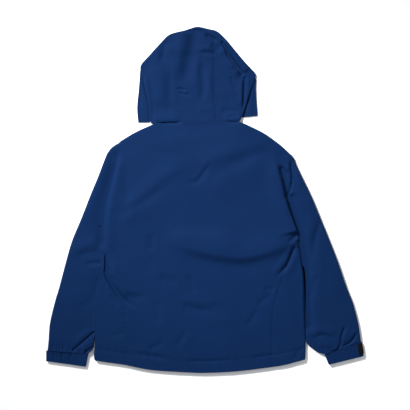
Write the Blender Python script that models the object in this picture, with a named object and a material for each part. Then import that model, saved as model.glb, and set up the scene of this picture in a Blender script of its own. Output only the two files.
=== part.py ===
"""A hooded, lightly padded jacket, laid flat on its front with the back up and the hood spread above it.

Every panel is a padded wall of its own. The fronts lie on the floor, wrap round the sides and meet the back
at two side-back seams. The sleeves and cuffs are flattened tubes, and the hood is folded round its outline.
X runs across the jacket, Y from hem to hood, Z up from the floor.
"""
import math

import bmesh
import bpy

CM = 0.01
MM = 0.001

# ---- Driving sizes -------------------------------------------------------------------------------------
SEAM_GAP = 0.4 * MM             # between two panels at a seam
BODY_WALL = 5.0 * MM            # shell, padding and lining of body and sleeves
BODY_SLACK = 1.5 * MM           # between the two layers of body and sleeves
CUFF_WALL = 3.4 * MM
CUFF_SLACK = 1.0 * MM
CUFF_LIFT = 2.1 * MM            # room under the cuffs for the tab's thickness
HOOD_WALL = 3.0 * MM
HOOD_SLACK = 1.2 * MM
SAG_LIMIT = 3.0 * MM            # a crease presses the padding in by no more than this
LIFT_LIMIT = 2.2 * MM           # the inside of the upper layer rises by no more than this
CENTRE_X = -2.0 * CM            # the zip's line
ZIP_CHANNEL = 3.4 * MM          # half the space between the two front edges

# ---- Outline of the laid jacket, in centimetres --------------------------------------------------------
# Sides: how far across (x) at a height (y), below the underarm.
LEFT_SIDE = ((-45.6, -30.2), (-44.6, -31.1), (-41.3, -31.0), (-34.3, -30.7), (-27.3, -30.2), (-22.6, -29.1),
             (-20.2, -28.5), (-15.5, -28.4), (-13.0, -28.5))
RIGHT_SIDE = ((-45.2, 27.8), (-44.4, 28.1), (-39.6, 28.2), (-30.4, 27.8), (-21.5, 27.6), (-15.6, 26.7),
              (-11.1, 25.9), (-9.0, 25.9))
# Seams between back and fronts (x at a height y): they start at the underarm and end at the hem.
LEFT_SEAM = ((-47.0, -21.9), (-42.2, -22.0), (-36.6, -22.5), (-29.9, -22.8), (-27.6, -23.5), (-24.5, -25.9),
             (-21.7, -27.4), (-18.4, -27.7), (-14.0, -27.8))
RIGHT_SEAM = ((-47.4, 18.8), (-42.2, 18.8), (-31.6, 18.9), (-27.4, 19.9), (-19.8, 22.5), (-11.2, 25.1))
# Armhole seams (x at a height y), from underarm to shoulder.
LEFT_ARMHOLE = ((-14.0, -28.5), (-10.9, -28.6), (-5.7, -28.4), (-1.0, -27.6), (6.0, -25.9), (9.3, -25.1),
                (13.4, -24.4))
RIGHT_ARMHOLE = ((-11.2, 25.9), (-9.1, 25.8), (-3.5, 25.0), (1.5, 24.5), (7.8, 24.0))
# Where each armhole seam meets the shoulder's edge, and the direction out of the cloth there.
SHOULDER_POINTS = {-1: ((-24.3, 15.9), (-0.64, 0.77)), 1: ((23.9, 12.8), (0.69, 0.72))}
# Shoulders and neck seam (y at a distance x).
LEFT_SHOULDER = ((-24.3, 15.9), (-23.8, 16.4), (-19.4, 19.0), (-14.6, 21.2))
RIGHT_SHOULDER = ((9.6, 21.9), (11.4, 21.2), (16.6, 18.6), (19.5, 16.6), (21.6, 14.95), (23.9, 12.8))
NECK_SEAM = ((-14.6, 21.2), (-12.8, 21.65), (-8.3, 21.85), (-2.5, 21.75), (6.3, 22.05), (9.6, 21.9))
HEM = ((-31.2, -44.6), (-30.3, -45.15), (-22.6, -46.3), (-15.3, -47.7), (-4.2, -48.45), (-0.3, -48.55),
       (7.8, -48.2), (16.6, -47.2), (22.5, -46.3), (25.4, -45.5), (28.2, -44.8))
FRONT_NECK_Y = 14.0             # lowest point of the front neckline
UNDERARM_Y = {-1: -14.0, 1: -11.2}

# Sleeve edges (x, y): the outer one from the shoulder to the cuff, the inner one from the underarm.
SLEEVE_LEFT_OUTER = ((-24.37, 15.83), (-26.1, 14.7), (-27.4, 13.1), (-28.4, 10.7), (-30.0, 6.5), (-32.3, 0.9),
                     (-34.7, -5.2), (-37.2, -11.2), (-38.9, -16.9), (-40.9, -24.5), (-42.0, -28.2),
                     (-43.5, -34.5), (-43.9, -39.4), (-44.2, -42.3))
SLEEVE_LEFT_INNER = ((-28.62, -14.15), (-28.55, -17.5), (-28.65, -20.4), (-29.25, -22.6), (-30.35, -27.3),
                     (-30.85, -34.3), (-31.1, -39.5), (-31.35, -42.0), (-32.7, -43.1))
SLEEVE_RIGHT_OUTER = ((23.97, 12.73), (24.8, 11.9), (25.8, 9.4), (27.2, 6.4), (29.8, 1.0), (32.9, -6.4),
                      (34.8, -11.1), (37.1, -17.0), (39.7, -24.5), (41.5, -29.1), (43.0, -34.9),
                      (43.7, -39.6))
SLEEVE_RIGHT_INNER = ((26.05, -11.35), (26.85, -15.6), (27.7, -21.5), (27.95, -30.4), (28.25, -36.5),
                      (28.45, -40.0), (30.1, -41.7), (31.8, -42.9), (33.5, -43.4))
# Cuffs: the four corners (x, y) of each band.
CUFF_CORNERS = {
    "left": {"top_outer": (-44.57, -42.38), "top_inner": (-32.7, -43.18),
             "end_outer": (-44.6, -45.3), "end_inner": (-33.4, -46.8)},
    "right": {"top_outer": (43.8, -39.68), "top_inner": (33.5, -43.48),
              "end_outer": (44.5, -43.8), "end_inner": (34.7, -46.3)},
}

# Hood (x, y): the silhouette of each side from the neck up to the seam at the crown, the two seams of the
# centre strip from neck to crown, and the face opening under the hood.
HOOD_LEFT_EDGE = ((-15.6, 21.8), (-15.9, 27.0), (-16.9, 30.8), (-17.7, 34.8), (-18.1, 37.6), (-15.4, 40.8),
                  (-12.6, 43.9), (-10.0, 46.35), (-6.1, 47.4))
HOOD_RIGHT_EDGE = ((10.4, 23.1), (11.9, 27.7), (12.9, 30.8), (13.8, 33.2), (14.2, 34.5), (14.0, 35.6),
                   (11.2, 38.6), (8.25, 42.1), (5.3, 45.6), (3.3, 47.3), (1.75, 47.75))
HOOD_CROWN = ((-6.0, 47.4), (-4.2, 48.05), (-2.2, 48.57), (-0.4, 48.25), (1.65, 47.75))
HOOD_LEFT_SEAM = ((-7.1, 21.9), (-7.4, 24.4), (-8.2, 32.2), (-8.2, 40.1), (-7.6, 43.5), (-6.1, 46.9))
HOOD_RIGHT_SEAM = ((3.1, 22.02), (2.9, 25.5), (2.5, 31.4), (2.5, 40.4), (2.3, 44.3), (1.75, 47.3))
FACE_LEFT = ((-13.4, 22.4), (-13.0, 28.0), (-13.4, 34.0), (-12.6, 38.0), (-9.8, 41.6), (-6.1, 43.2))
FACE_RIGHT = ((8.0, 23.4), (8.8, 28.0), (9.9, 33.0), (9.4, 36.0), (6.4, 40.2), (1.75, 43.2))
# Hood front edges at the lower corners (x, y): outer edge upwards. Their inner edge follows the hood side.
FLAP_LEFT_OUTER = ((-18.8, 21.7), (-19.1, 25.9), (-18.6, 31.4), (-18.25, 36.4))
FLAP_RIGHT_OUTER = ((14.75, 23.6), (14.5, 27.0), (14.3, 31.1), (14.4, 33.4))

# ---- Folds: crest line in centimetres, reach on its left and right in centimetres, height in millimetres
FOLD_COLUMNS = ("start", "bend", "end", "left_reach", "right_reach", "height")
BODY_FOLDS = (
    # the big fold that billows over the middle of the back
    ((-13.0, -10.6), (8.0, -17.0), (25.6, -10.6), 4.2, 1.5, 6.0),
    # soft bands over the upper back
    ((-25.3, -4.7), (-15.5, 6.7), (0.6, 7.4), 3.0, 3.0, 3.4),
    ((-1.0, 8.9), (9.8, 14.5), (23.0, 16.4), 3.2, 2.4, 2.6),
    ((1.0, 9.8), (-0.6, 6.9), (-3.6, 4.8), 1.3, 1.3, -2.6),
    ((-27.0, -7.3), (-18.3, -2.3), (-7.2, 0.2), 2.4, 2.2, 2.2),
    ((-1.0, 3.3), (9.8, 6.1), (23.3, 6.7), 2.8, 2.4, 2.0),
    # creases that run in from the right underarm
    ((26.6, -9.2), (24.7, -10.8), (22.4, -12.6), 0.9, 0.9, -2.6),
    ((25.6, -12.6), (22.7, -18.6), (19.0, -22.6), 1.1, 1.1, -3.0),
    # crease from the left side, round the pocket corner of the lining
    ((-28.2, -20.9), (-23.9, -28.2), (-17.8, -31.3), 1.1, 1.1, -2.8),
    ((-26.0, -31.5), (-20.0, -34.5), (-13.0, -34.0), 3.0, 3.0, 1.6),
    # low soft hollows and rises of the lower back
    ((-6.8, -28.0), (-2.0, -30.6), (3.4, -29.4), 2.0, 1.6, -1.5),
    ((-14.2, -20.6), (-9.9, -22.5), (-5.6, -20.6), 1.6, 1.6, -1.2),
    ((13.0, -31.7), (17.7, -27.6), (22.6, -24.0), 1.8, 1.8, -1.6),
    ((-17.6, -41.5), (-13.2, -40.0), (-8.9, -38.2), 1.8, 1.8, 1.3),
    ((-9.0, -42.4), (-6.5, -38.9), (-4.2, -34.8), 1.6, 1.6, -1.2),
    # right shoulder: the back drops in a step towards the armhole
    ((22.6, 11.4), (23.3, 5.5), (24.9, -3.5), 3.0, 1.4, -3.0),
    # padding over the shoulder blades and the waist
    ((-14.0, 12.0), (-2.0, 14.5), (12.0, 11.0), 9.0, 9.0, 1.8),
    ((-20.0, -36.0), (-2.0, -40.0), (16.0, -36.0), 8.0, 8.0, 1.8),
)
SLEEVE_FOLDS = (
    # the left sleeve head sits lower than the body beside it
    ((-26.0, 14.4), (-27.4, 6.0), (-29.2, -3.0), 1.6, 2.2, -2.8),
    ((-37.6, -15.9), (-32.9, -14.1), (-28.4, -13.2), 1.6, 1.6, 2.0),
    ((-35.0, -18.6), (-31.5, -17.8), (-28.7, -17.6), 1.2, 1.2, -1.8),
    ((-30.6, -36.8), (-34.0, -40.0), (-38.4, -42.9), 0.9, 0.9, -3.0),
    ((-30.6, -40.4), (-32.4, -42.2), (-34.6, -43.3), 0.8, 0.8, -2.6),
    ((-38.0, -24.0), (-36.6, -30.0), (-37.4, -37.0), 3.0, 3.0, 2.0),
    # the right sleeve
    ((24.6, 11.6), (25.2, 4.0), (26.6, -6.0), 1.6, 1.4, -2.6),
    ((33.2, -3.6), (29.0, -15.5), (30.0, -30.6), 1.3, 1.3, -2.4),
    ((36.0, -14.0), (35.6, -22.0), (37.0, -31.0), 2.6, 2.6, 2.2),
    ((39.7, -34.2), (37.6, -39.4), (37.3, -42.6), 1.0, 1.0, -3.0),
    ((43.2, -36.0), (41.4, -40.4), (37.6, -41.9), 0.9, 0.9, -2.8),
    ((29.4, -38.8), (33.1, -37.5), (37.5, -38.4), 1.4, 1.4, -1.6),
)
HOOD_FOLDS = (
    ((-2.8, 48.2), (-5.4, 41.5), (-6.9, 30.4), 1.5, 1.7, -2.6),
    ((-1.9, 38.4), (-1.0, 33.1), (-1.6, 26.6), 1.0, 1.0, -1.5),
    ((-3.4, 38.0), (-3.4, 33.0), (-3.8, 27.0), 1.3, 1.3, 1.6),
    ((0.8, 45.6), (2.1, 45.0), (3.6, 44.4), 0.9, 0.9, -2.4),
    ((-2.4, 41.0), (0.3, 41.8), (3.2, 41.1), 0.9, 0.9, -1.8),
    ((4.9, 45.0), (7.0, 39.4), (11.3, 34.3), 0.9, 0.9, -2.6),
    ((7.4, 34.4), (7.8, 32.2), (9.4, 30.7), 0.8, 0.8, -1.6),
    ((10.9, 34.6), (10.9, 30.3), (10.6, 25.6), 0.8, 0.6, -2.4),
    ((-11.7, 43.8), (-12.1, 41.2), (-12.5, 38.2), 0.9, 0.9, -1.8),
    ((-9.2, 31.2), (-6.8, 31.0), (-4.9, 30.3), 0.7, 0.7, -1.6),
    ((-14.6, 38.6), (-13.0, 32.0), (-12.6, 26.0), 2.2, 2.2, 1.8),
    ((5.4, 40.6), (7.2, 34.0), (7.2, 27.6), 2.0, 2.0, 2.0),
    ((-0.6, 46.6), (-0.2, 43.4), (0.4, 39.0), 1.6, 1.6, 1.6),
)
GATHERS = {"left": {"start": 0.18, "end": 0.62, "count": 7, "depth": 0.8 * MM},
           "right": {"start": 0.10, "end": 0.40, "count": 4, "depth": 0.4 * MM}}

# ---- Colours: base colour, roughness, metallic ---------------------------------------------------------
FINISHES = {
    "navy_shell": ((0.010, 0.034, 0.125), 0.62, 0.0),
    "black_hook_loop": ((0.006, 0.006, 0.007), 0.9, 0.0),
    "zip_tape": ((0.008, 0.024, 0.085), 0.7, 0.0),
    "zip_metal": ((0.05, 0.05, 0.055), 0.35, 1.0),
}


# ---- Lines and heights ---------------------------------------------------------------------------------
def smoothstep(value):
    value = min(max(value, 0.0), 1.0)
    return value * value * (3.0 - 2.0 * value)


def read_off(rows, at):
    """The second column of a table at a place in its first column, along a smooth curve."""
    rows = sorted(rows)
    last = len(rows) - 1
    at = min(max(at, rows[0][0]), rows[last][0])
    k = 0
    while k < last - 1 and at > rows[k + 1][0]:
        k += 1

    def slope(n):
        low, high = max(n - 1, 0), min(n + 1, last)
        return (rows[high][1] - rows[low][1]) / (rows[high][0] - rows[low][0])

    span = rows[k + 1][0] - rows[k][0]
    t = (at - rows[k][0]) / span
    start = rows[k][1] * (1 + 2 * t) * (1 - t) ** 2 + slope(k) * span * t * (1 - t) ** 2
    return start + rows[k + 1][1] * t * t * (3 - 2 * t) - slope(k + 1) * span * t * t * (1 - t)


def walk(points, steps=10):
    """A smooth line through points (x, y), as a function of the share of its length (Catmull-Rom)."""
    dense = []
    last = len(points) - 1
    for k in range(last):
        p0, p1, p2, p3 = (points[min(max(k + n, 0), last)] for n in (-1, 0, 1, 2))
        for n in range(steps):
            t = n / steps
            dense.append(tuple(0.5 * (2 * b + (c - a) * t + (2 * a - 5 * b + 4 * c - d) * t * t
                                      + (3 * b - a - 3 * c + d) * t ** 3)
                               for a, b, c, d in zip(p0, p1, p2, p3)))
    dense.append(tuple(points[last]))
    lengths = [0.0]
    for a, b in zip(dense, dense[1:]):
        lengths.append(lengths[-1] + math.dist(a, b))

    def at(share):
        goal = min(max(share, 0.0), 1.0) * lengths[-1]
        k = 0
        while k < len(dense) - 2 and lengths[k + 1] < goal:
            k += 1
        t = (goal - lengths[k]) / (lengths[k + 1] - lengths[k])
        return tuple(p + (q - p) * t for p, q in zip(dense[k], dense[k + 1]))

    return at


def outward(line, share, side):
    """The unit direction square to a line at a share of its length, to its left (1) or right (-1)."""
    a, b = line(max(share - 0.02, 0.0)), line(min(share + 0.02, 1.0))
    length = math.dist(a, b)
    return (-(b[1] - a[1]) / length * side, (b[0] - a[0]) / length * side)


def unit(start, end):
    length = math.dist(start, end)
    return ((end[0] - start[0]) / length, (end[1] - start[1]) / length)


def moved(point, direction, distance):
    return (point[0] + direction[0] * distance, point[1] + direction[1] * distance)


def blend(a, b, t):
    return tuple(p + (q - p) * t for p, q in zip(a, b))


def patch(low, high, left, right, u, v):
    """A point of the surface spread between four lines: low and high run over u, left and right over v."""
    across = blend(low(u), high(u), v)
    along = blend(left(v), right(v), u)
    corners = blend(blend(low(0.0), low(1.0), u), blend(high(0.0), high(1.0), u), v)
    return tuple(p + q - r for p, q, r in zip(across, along, corners))


class Folds:
    """The rise and fall that a table of folds gives to a panel, in metres, at a place in centimetres."""

    def __init__(self, table):
        self.rows = []
        for row in table:
            fold = dict(zip(FOLD_COLUMNS, row))
            crest = []
            for n in range(13):
                t = n / 12
                crest.append(blend(blend(fold["start"], fold["bend"], t), blend(fold["bend"], fold["end"], t), t))
            self.rows.append((fold, crest))

    def __call__(self, x, y):
        return sum(self.one(fold, crest, x, y) for fold, crest in self.rows)

    @staticmethod
    def one(fold, crest, x, y):
        best = None
        for k, (a, b) in enumerate(zip(crest, crest[1:])):
            dx, dy = b[0] - a[0], b[1] - a[1]
            t = min(max(((x - a[0]) * dx + (y - a[1]) * dy) / (dx * dx + dy * dy), 0.0), 1.0)
            away = math.hypot(x - a[0] - t * dx, y - a[1] - t * dy)
            if best is None or away < best[0]:
                left = dx * (y - a[1]) - dy * (x - a[0]) > 0
                best = (away, left, (k + t) / (len(crest) - 1))
        away, left, share = best
        reach = fold["left_reach"] if left else fold["right_reach"]
        ends = smoothstep(share / 0.22) * smoothstep((1.0 - share) / 0.22)
        return fold["height"] * MM * ends * math.exp(-(away / reach) ** 2)


# ---- Walls ---------------------------------------------------------------------------------------------
def finish(name):
    material = bpy.data.materials.get(name)
    if material is None:
        colour, roughness, metallic = FINISHES[name]
        material = bpy.data.materials.new(name)
        material.use_nodes = True
        shader = material.node_tree.nodes["Principled BSDF"]
        shader.inputs["Base Color"].default_value = (*colour, 1.0)
        shader.inputs["Roughness"].default_value = roughness
        shader.inputs["Metallic"].default_value = metallic
    return material


def place(name, mesh, material):
    mesh.materials.append(finish(material))
    mesh.shade_smooth()
    mesh.set_sharp_from_angle(angle=math.radians(40))
    thing = bpy.data.objects.new(name, mesh)
    bpy.context.scene.collection.objects.link(thing)
    return thing


def wall(name, outer, inner, used=None, closed=False, material="navy_shell"):
    """A closed wall between two grids of points, outer[row][column] and inner[row][column], in metres.

    used(row, column) says which cells the panel fills, and closed joins the last column to the first.
    Each free edge of the cells gets a rim.
    """
    rows, columns = len(outer), len(outer[0])
    across = columns if closed else columns - 1
    cells = [(i, j) for i in range(rows - 1) for j in range(across) if used is None or used(i, j)]
    shape = bmesh.new()
    corner = {}

    def vertex(skin, i, j):
        key = (skin, i, j % columns)
        if key not in corner:
            corner[key] = shape.verts.new((outer, inner)[skin][i][j % columns])
        return corner[key]

    def triangles(a, b, c, d):
        if (a.co - c.co).length <= (b.co - d.co).length:
            return (a, b, c), (a, c, d)
        return (a, b, d), (b, c, d)

    edges = {}
    for i, j in cells:
        ring = [(i, j), (i, j + 1), (i + 1, j + 1), (i + 1, j)]
        skin = [vertex(0, *p) for p in ring]
        lining = {v: vertex(1, *p) for v, p in zip(skin, ring)}
        for face in triangles(*skin):
            shape.faces.new(face)
            shape.faces.new([lining[v] for v in reversed(face)])
        for a, b in zip(ring, ring[1:] + ring[:1]):
            a, b = (a[0], a[1] % columns), (b[0], b[1] % columns)
            if (b, a) in edges:
                del edges[(b, a)]
            else:
                edges[(a, b)] = True
    for a, b in edges:
        for face in triangles(vertex(0, *b), vertex(0, *a), vertex(1, *a), vertex(1, *b)):
            shape.faces.new(face)
    if shape.calc_volume(signed=True) < 0:
        bmesh.ops.reverse_faces(shape, faces=shape.faces)
    mesh = bpy.data.meshes.new(name)
    shape.to_mesh(mesh)
    shape.free()
    return place(name, mesh, material)


def prism(name, outline, low, high, axis, material):
    """An outline of (a, b) points drawn out along one axis, X or Y, from low to high."""
    shape = bmesh.new()
    ends = []
    for at in (low, high):
        ends.append([shape.verts.new((at, a, b) if axis == "X" else (a, at, b)) for a, b in outline])
    shape.faces.new(ends[0])
    shape.faces.new(reversed(ends[1]))
    for k in range(len(outline)):
        n = (k + 1) % len(outline)
        shape.faces.new((ends[0][n], ends[0][k], ends[1][k], ends[1][n]))
    if shape.calc_volume(signed=True) < 0:
        bmesh.ops.reverse_faces(shape, faces=shape.faces)
    mesh = bpy.data.meshes.new(name)
    shape.to_mesh(mesh)
    shape.free()
    return place(name, mesh, material)


class Layers:
    """The heights of a flattened, two-layered part of the jacket."""

    def __init__(self, thickness, slack, folds, base=0.0, sink=None):
        self.thickness = thickness
        self.slack = slack
        self.folds = folds
        self.base = base
        self.sink = sink

    def top(self, x, y):
        """Outside and inside height of the upper layer at a place in centimetres."""
        rise = self.folds(x, y) if self.folds else 0.0
        rise = max(rise, -SAG_LIMIT)
        drop = self.sink(x, y) if self.sink else 0.0
        inside = self.base + self.thickness + self.slack - drop
        return inside + self.thickness + rise, inside + min(max(rise, 0.0), LIFT_LIMIT)

    def upper(self, x, y):
        outside, inside = self.top(x, y)
        return (x * CM, y * CM, outside), (x * CM, y * CM, inside)

    def lower(self, x, y):
        return (x * CM, y * CM, self.base), (x * CM, y * CM, self.base + self.thickness)

    def bend(self, edge, direction, angle, shift=0.0):
        """A point of the fold at an edge: 90 degrees is its upper end, -90 its lower end."""
        radius = (self.thickness + self.slack / 2) / CM
        hollow = (self.slack / 2) / CM
        centre = moved(edge, direction, -radius)
        outside, inside = self.top(*centre)
        points = []
        for reach, low, high in ((radius, self.base, outside),
                                 (hollow, self.base + self.thickness, inside)):
            x, y = moved(centre, direction, reach * math.cos(math.radians(angle)))
            z = (low + high) / 2 + (high - low) / 2 * math.sin(math.radians(angle))
            z += shift * math.cos(math.radians(angle))
            points.append((x * CM, y * CM, z))
        return tuple(points)

    def inset(self, edge, direction):
        return moved(edge, direction, -(self.thickness + self.slack / 2) / CM)


def split_rows(rows):
    """Rows of (outer, inner) pairs, as two grids."""
    return [[pair[0] for pair in row] for row in rows], [[pair[1] for pair in row] for row in rows]


def spread(start, end, count):
    return [start + (end - start) * k / count for k in range(count + 1)]


# ---- Body ----------------------------------------------------------------------------------------------
NECK_MIDDLE_X = -2.5            # centimetres
NECK_HALF = 12.1
NECK_DEPTH = 7.4                # of the front neckline, below the back's neck seam
NECK_SINK = 3.2 * MM            # how far the back sinks where no front lies under it


def scoop(x):
    """Height (y) of the front neckline."""
    along = min(abs(x - NECK_MIDDLE_X) / NECK_HALF, 1.0)
    return FRONT_NECK_Y + NECK_DEPTH * along ** 2.2


def neck_sink(x, y):
    """The back sinks to the floor inside the front neckline."""
    return NECK_SINK * smoothstep((y - scoop(x) - 0.6) / 3.0)


BODY = Layers(BODY_WALL, BODY_SLACK, Folds(BODY_FOLDS), sink=neck_sink)
GAP = SEAM_GAP / CM
HEM_ROWS = 15                   # rows of the panels from hem to underarm
ARMHOLE_ROWS = 14               # rows from underarm to shoulder
SHOULDER_COLUMNS = 5
NECK_COLUMNS = 12
FOLD_STEPS = 5
WRAP_COLUMNS = 3
UNDERARM_SHARE = 0.5


def side_point(side, v, low_rows):
    """A point at a share v of the way up one side: along low_rows up to the underarm, then the armhole."""
    underarm = UNDERARM_Y[side]
    if v <= UNDERARM_SHARE + 1e-6:
        hem = read_off(HEM, min(low_rows)[1])
        y = hem + (underarm - hem) * v / UNDERARM_SHARE
        return (read_off(low_rows, y), y)
    corner = BODY.inset(*SHOULDER_POINTS[side])
    armhole = (LEFT_ARMHOLE if side < 0 else RIGHT_ARMHOLE) + (corner[::-1],)
    y = underarm + (corner[1] - underarm) * (v - UNDERARM_SHARE) / (1.0 - UNDERARM_SHARE)
    return (read_off(armhole, y), y)


def shares_up():
    return (spread(0.0, UNDERARM_SHARE, HEM_ROWS)
            + spread(UNDERARM_SHARE, 1.0, ARMHOLE_ROWS)[1:])


def shoulder_line(side, x):
    """The shoulder's edge at x, and the direction out of it."""
    rows = LEFT_SHOULDER if side < 0 else RIGHT_SHOULDER
    corner, out_of_corner = SHOULDER_POINTS[side]
    if (x - corner[0]) * side > -0.05:
        return corner, out_of_corner
    step = 0.3
    a, b = (x - step, read_off(rows, x - step)), (x + step, read_off(rows, x + step))
    length = math.dist(a, b)
    return (x, read_off(rows, x)), (-(b[1] - a[1]) / length, (b[0] - a[0]) / length)


def back():
    def left(v):
        x, y = side_point(-1, v, LEFT_SEAM)
        return (x + GAP / 2, y)

    def right(v):
        x, y = side_point(1, v, RIGHT_SEAM)
        return (x - GAP / 2, y)

    left_end, right_end = left(1.0)[0], right(1.0)[0]
    neck_start, neck_end = NECK_SEAM[0][0], NECK_SEAM[-1][0]
    shares = [(x - left_end) / (right_end - left_end)
              for x in spread(left_end, neck_start, SHOULDER_COLUMNS)
              + spread(neck_start, neck_end, NECK_COLUMNS)[1:]
              + spread(neck_end, right_end, SHOULDER_COLUMNS)[1:]]
    neck_from, neck_to = SHOULDER_COLUMNS, SHOULDER_COLUMNS + NECK_COLUMNS

    def hem(u):
        x = left(0.0)[0] + (right(0.0)[0] - left(0.0)[0]) * u
        return (x, read_off(HEM, x))

    def edge(u):
        """The shoulder's edge above a share of the width; the shoulder's corners stay fixed points."""
        side = -1 if u < 0.5 else 1
        return shoulder_line(side, SHOULDER_POINTS[side][0][0] if u in (0.0, 1.0)
                             else left_end + (right_end - left_end) * u)

    def top(u):
        x = left_end + (right_end - left_end) * u
        if shares[neck_from] + 1e-6 < u < shares[neck_to] - 1e-6:
            return (x, read_off(NECK_SEAM, x) - GAP)
        point = BODY.inset(*edge(u))
        return (point[0] + (GAP / 2 if u == 0.0 else -GAP / 2 if u == 1.0 else 0.0), point[1])

    rows = [[BODY.upper(*patch(hem, top, left, right, u, v)) for u in shares] for v in shares_up()]
    for angle in (60, 30, 0):
        row = []
        for j, u in enumerate(shares):
            over_neck = neck_from < j < neck_to
            row.append(rows[-1][j] if over_neck else BODY.bend(*edge(u), angle, SEAM_GAP / 2))
        rows.append(row)
    flat_rows = HEM_ROWS + ARMHOLE_ROWS

    def used(i, j):
        return i < flat_rows or j < neck_from or j >= neck_to

    wall("back", *split_rows(rows), used=used)


def front(side):
    """One front: side is -1 for the one at -X and 1 for the other. It wraps round the side to the back."""
    side_rows, seam_rows = (LEFT_SIDE, LEFT_SEAM) if side < 0 else (RIGHT_SIDE, RIGHT_SEAM)
    neck_x = NECK_SEAM[0][0] if side < 0 else NECK_SEAM[-1][0]
    centre = (CENTRE_X + side * ZIP_CHANNEL) / CM
    direction = (float(side), 0.0)

    def outer_edge(v):
        point = side_point(side, v, side_rows)
        if v <= UNDERARM_SHARE + 1e-6:
            return BODY.inset(point, direction)
        return (point[0] - side * GAP / 2, point[1])

    def centre_edge(v):
        bottom, high = read_off(HEM, centre), scoop(centre)
        return (centre, bottom + (high - bottom) * v)

    start = outer_edge(1.0)[0]
    shares = [(x - start) / (centre - start)
              for x in spread(start, neck_x, SHOULDER_COLUMNS) + spread(neck_x, centre, 4)[1:]]

    def hem(u):
        x = outer_edge(0.0)[0] + (centre - outer_edge(0.0)[0]) * u
        return (x, read_off(HEM, x) + 0.1)

    def edge(u):
        return shoulder_line(side, SHOULDER_POINTS[side][0][0] if u == 0.0
                             else start + (centre - start) * u)

    def top(u):
        x = start + (centre - start) * u
        if u > shares[SHOULDER_COLUMNS] + 1e-6:
            return (x, scoop(x))
        point = BODY.inset(*edge(u))
        return (point[0] - (side * GAP / 2 if u == 0.0 else 0.0), point[1])

    rows = []
    for v in shares_up():
        low_v = min(v, UNDERARM_SHARE)
        side_edge = side_point(side, low_v, side_rows)
        fold_start = BODY.inset(side_edge, direction)
        seam = side_point(side, low_v, seam_rows)
        seam = (seam[0] + side * GAP / 2, seam[1])
        row = []
        for t in spread(0.0, 1.0, WRAP_COLUMNS)[:-1]:
            x, y = blend(seam, fold_start, t)
            row.append(BODY.upper(x, read_off(HEM, x) if v == 0.0 else y))
        for angle in spread(90, -90, FOLD_STEPS + 1)[:-1]:
            row.append(BODY.bend(side_edge, direction, angle))
        for u in shares:
            row.append(BODY.lower(*patch(hem, top, outer_edge, centre_edge, u, v)))
        rows.append(row)
    wrapped = WRAP_COLUMNS + FOLD_STEPS + 1
    for angle in (-60, -30, 0):
        row = list(rows[-1])
        for k in range(SHOULDER_COLUMNS + 1):
            row[wrapped + k] = BODY.bend(*edge(shares[k]), angle, -SEAM_GAP / 2)
        rows.append(row)
    flat_rows = HEM_ROWS + ARMHOLE_ROWS

    def used(i, j):
        if i >= flat_rows:
            return wrapped <= j < wrapped + SHOULDER_COLUMNS
        return i < HEM_ROWS or j >= wrapped

    wall("front_left" if side < 0 else "front_right", *split_rows(rows), used=used)


# ---- Sleeves and cuffs ---------------------------------------------------------------------------------
SLEEVES = Layers(BODY_WALL, BODY_SLACK, Folds(SLEEVE_FOLDS))
SLEEVE_ROWS = 16
TOP_COLUMNS = 7
UNDER_COLUMNS = 7
ARMHOLE_GAP = 0.10              # centimetres: the sleeve's ring has fewer corners than the body's edge


def tube_ring(layers, outer_edge, inner_edge, out_direction, in_direction, top_at, under_at):
    """One ring of a flattened tube: over the top from outer to inner edge, and back underneath."""
    ring = [layers.bend(outer_edge, out_direction, angle) for angle in (-54, -18, 18, 54, 90)]
    for k in range(1, TOP_COLUMNS):
        ring.append(layers.upper(*top_at(k / TOP_COLUMNS)))
    ring += [layers.bend(inner_edge, in_direction, angle) for angle in (90, 54, 18, -18, -54, -90)]
    for k in range(1, UNDER_COLUMNS):
        ring.append(layers.lower(*under_at(1.0 - k / UNDER_COLUMNS)))
    ring.append(layers.bend(outer_edge, out_direction, -90))
    return ring


def sleeve(side):
    name = "sleeve_left" if side < 0 else "sleeve_right"
    outer_line = walk(SLEEVE_LEFT_OUTER if side < 0 else SLEEVE_RIGHT_OUTER)
    inner_line = walk(SLEEVE_LEFT_INNER if side < 0 else SLEEVE_RIGHT_INNER)

    def out_direction(v):
        return SHOULDER_POINTS[side][1] if v == 0.0 else outward(outer_line, v, side)

    def in_direction(v):
        return outward(inner_line, v, -side)

    def outer_top(v):
        return SLEEVES.inset(outer_line(v), out_direction(v))

    def inner_top(v):
        return SLEEVES.inset(inner_line(v), in_direction(v))

    def armhole_line(u):
        if u in (0.0, 1.0):
            return outer_top(0.0) if u == 0.0 else inner_top(0.0)
        x, y = side_point(side, 1.0 - (1.0 - UNDERARM_SHARE) * u, LEFT_SEAM)
        return (x + side * ARMHOLE_GAP, y)

    def cuff_line(u):
        return blend(outer_top(1.0), inner_top(1.0), u)

    rows = []
    for v in spread(0.0, 1.0, SLEEVE_ROWS):
        def across(u, v=v):
            return patch(armhole_line, cuff_line, outer_top, inner_top, u, v)

        rows.append(tube_ring(SLEEVES, outer_line(v), inner_line(v), out_direction(v), in_direction(v),
                              across, across))
    wall(name, *split_rows(rows), closed=True)


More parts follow.
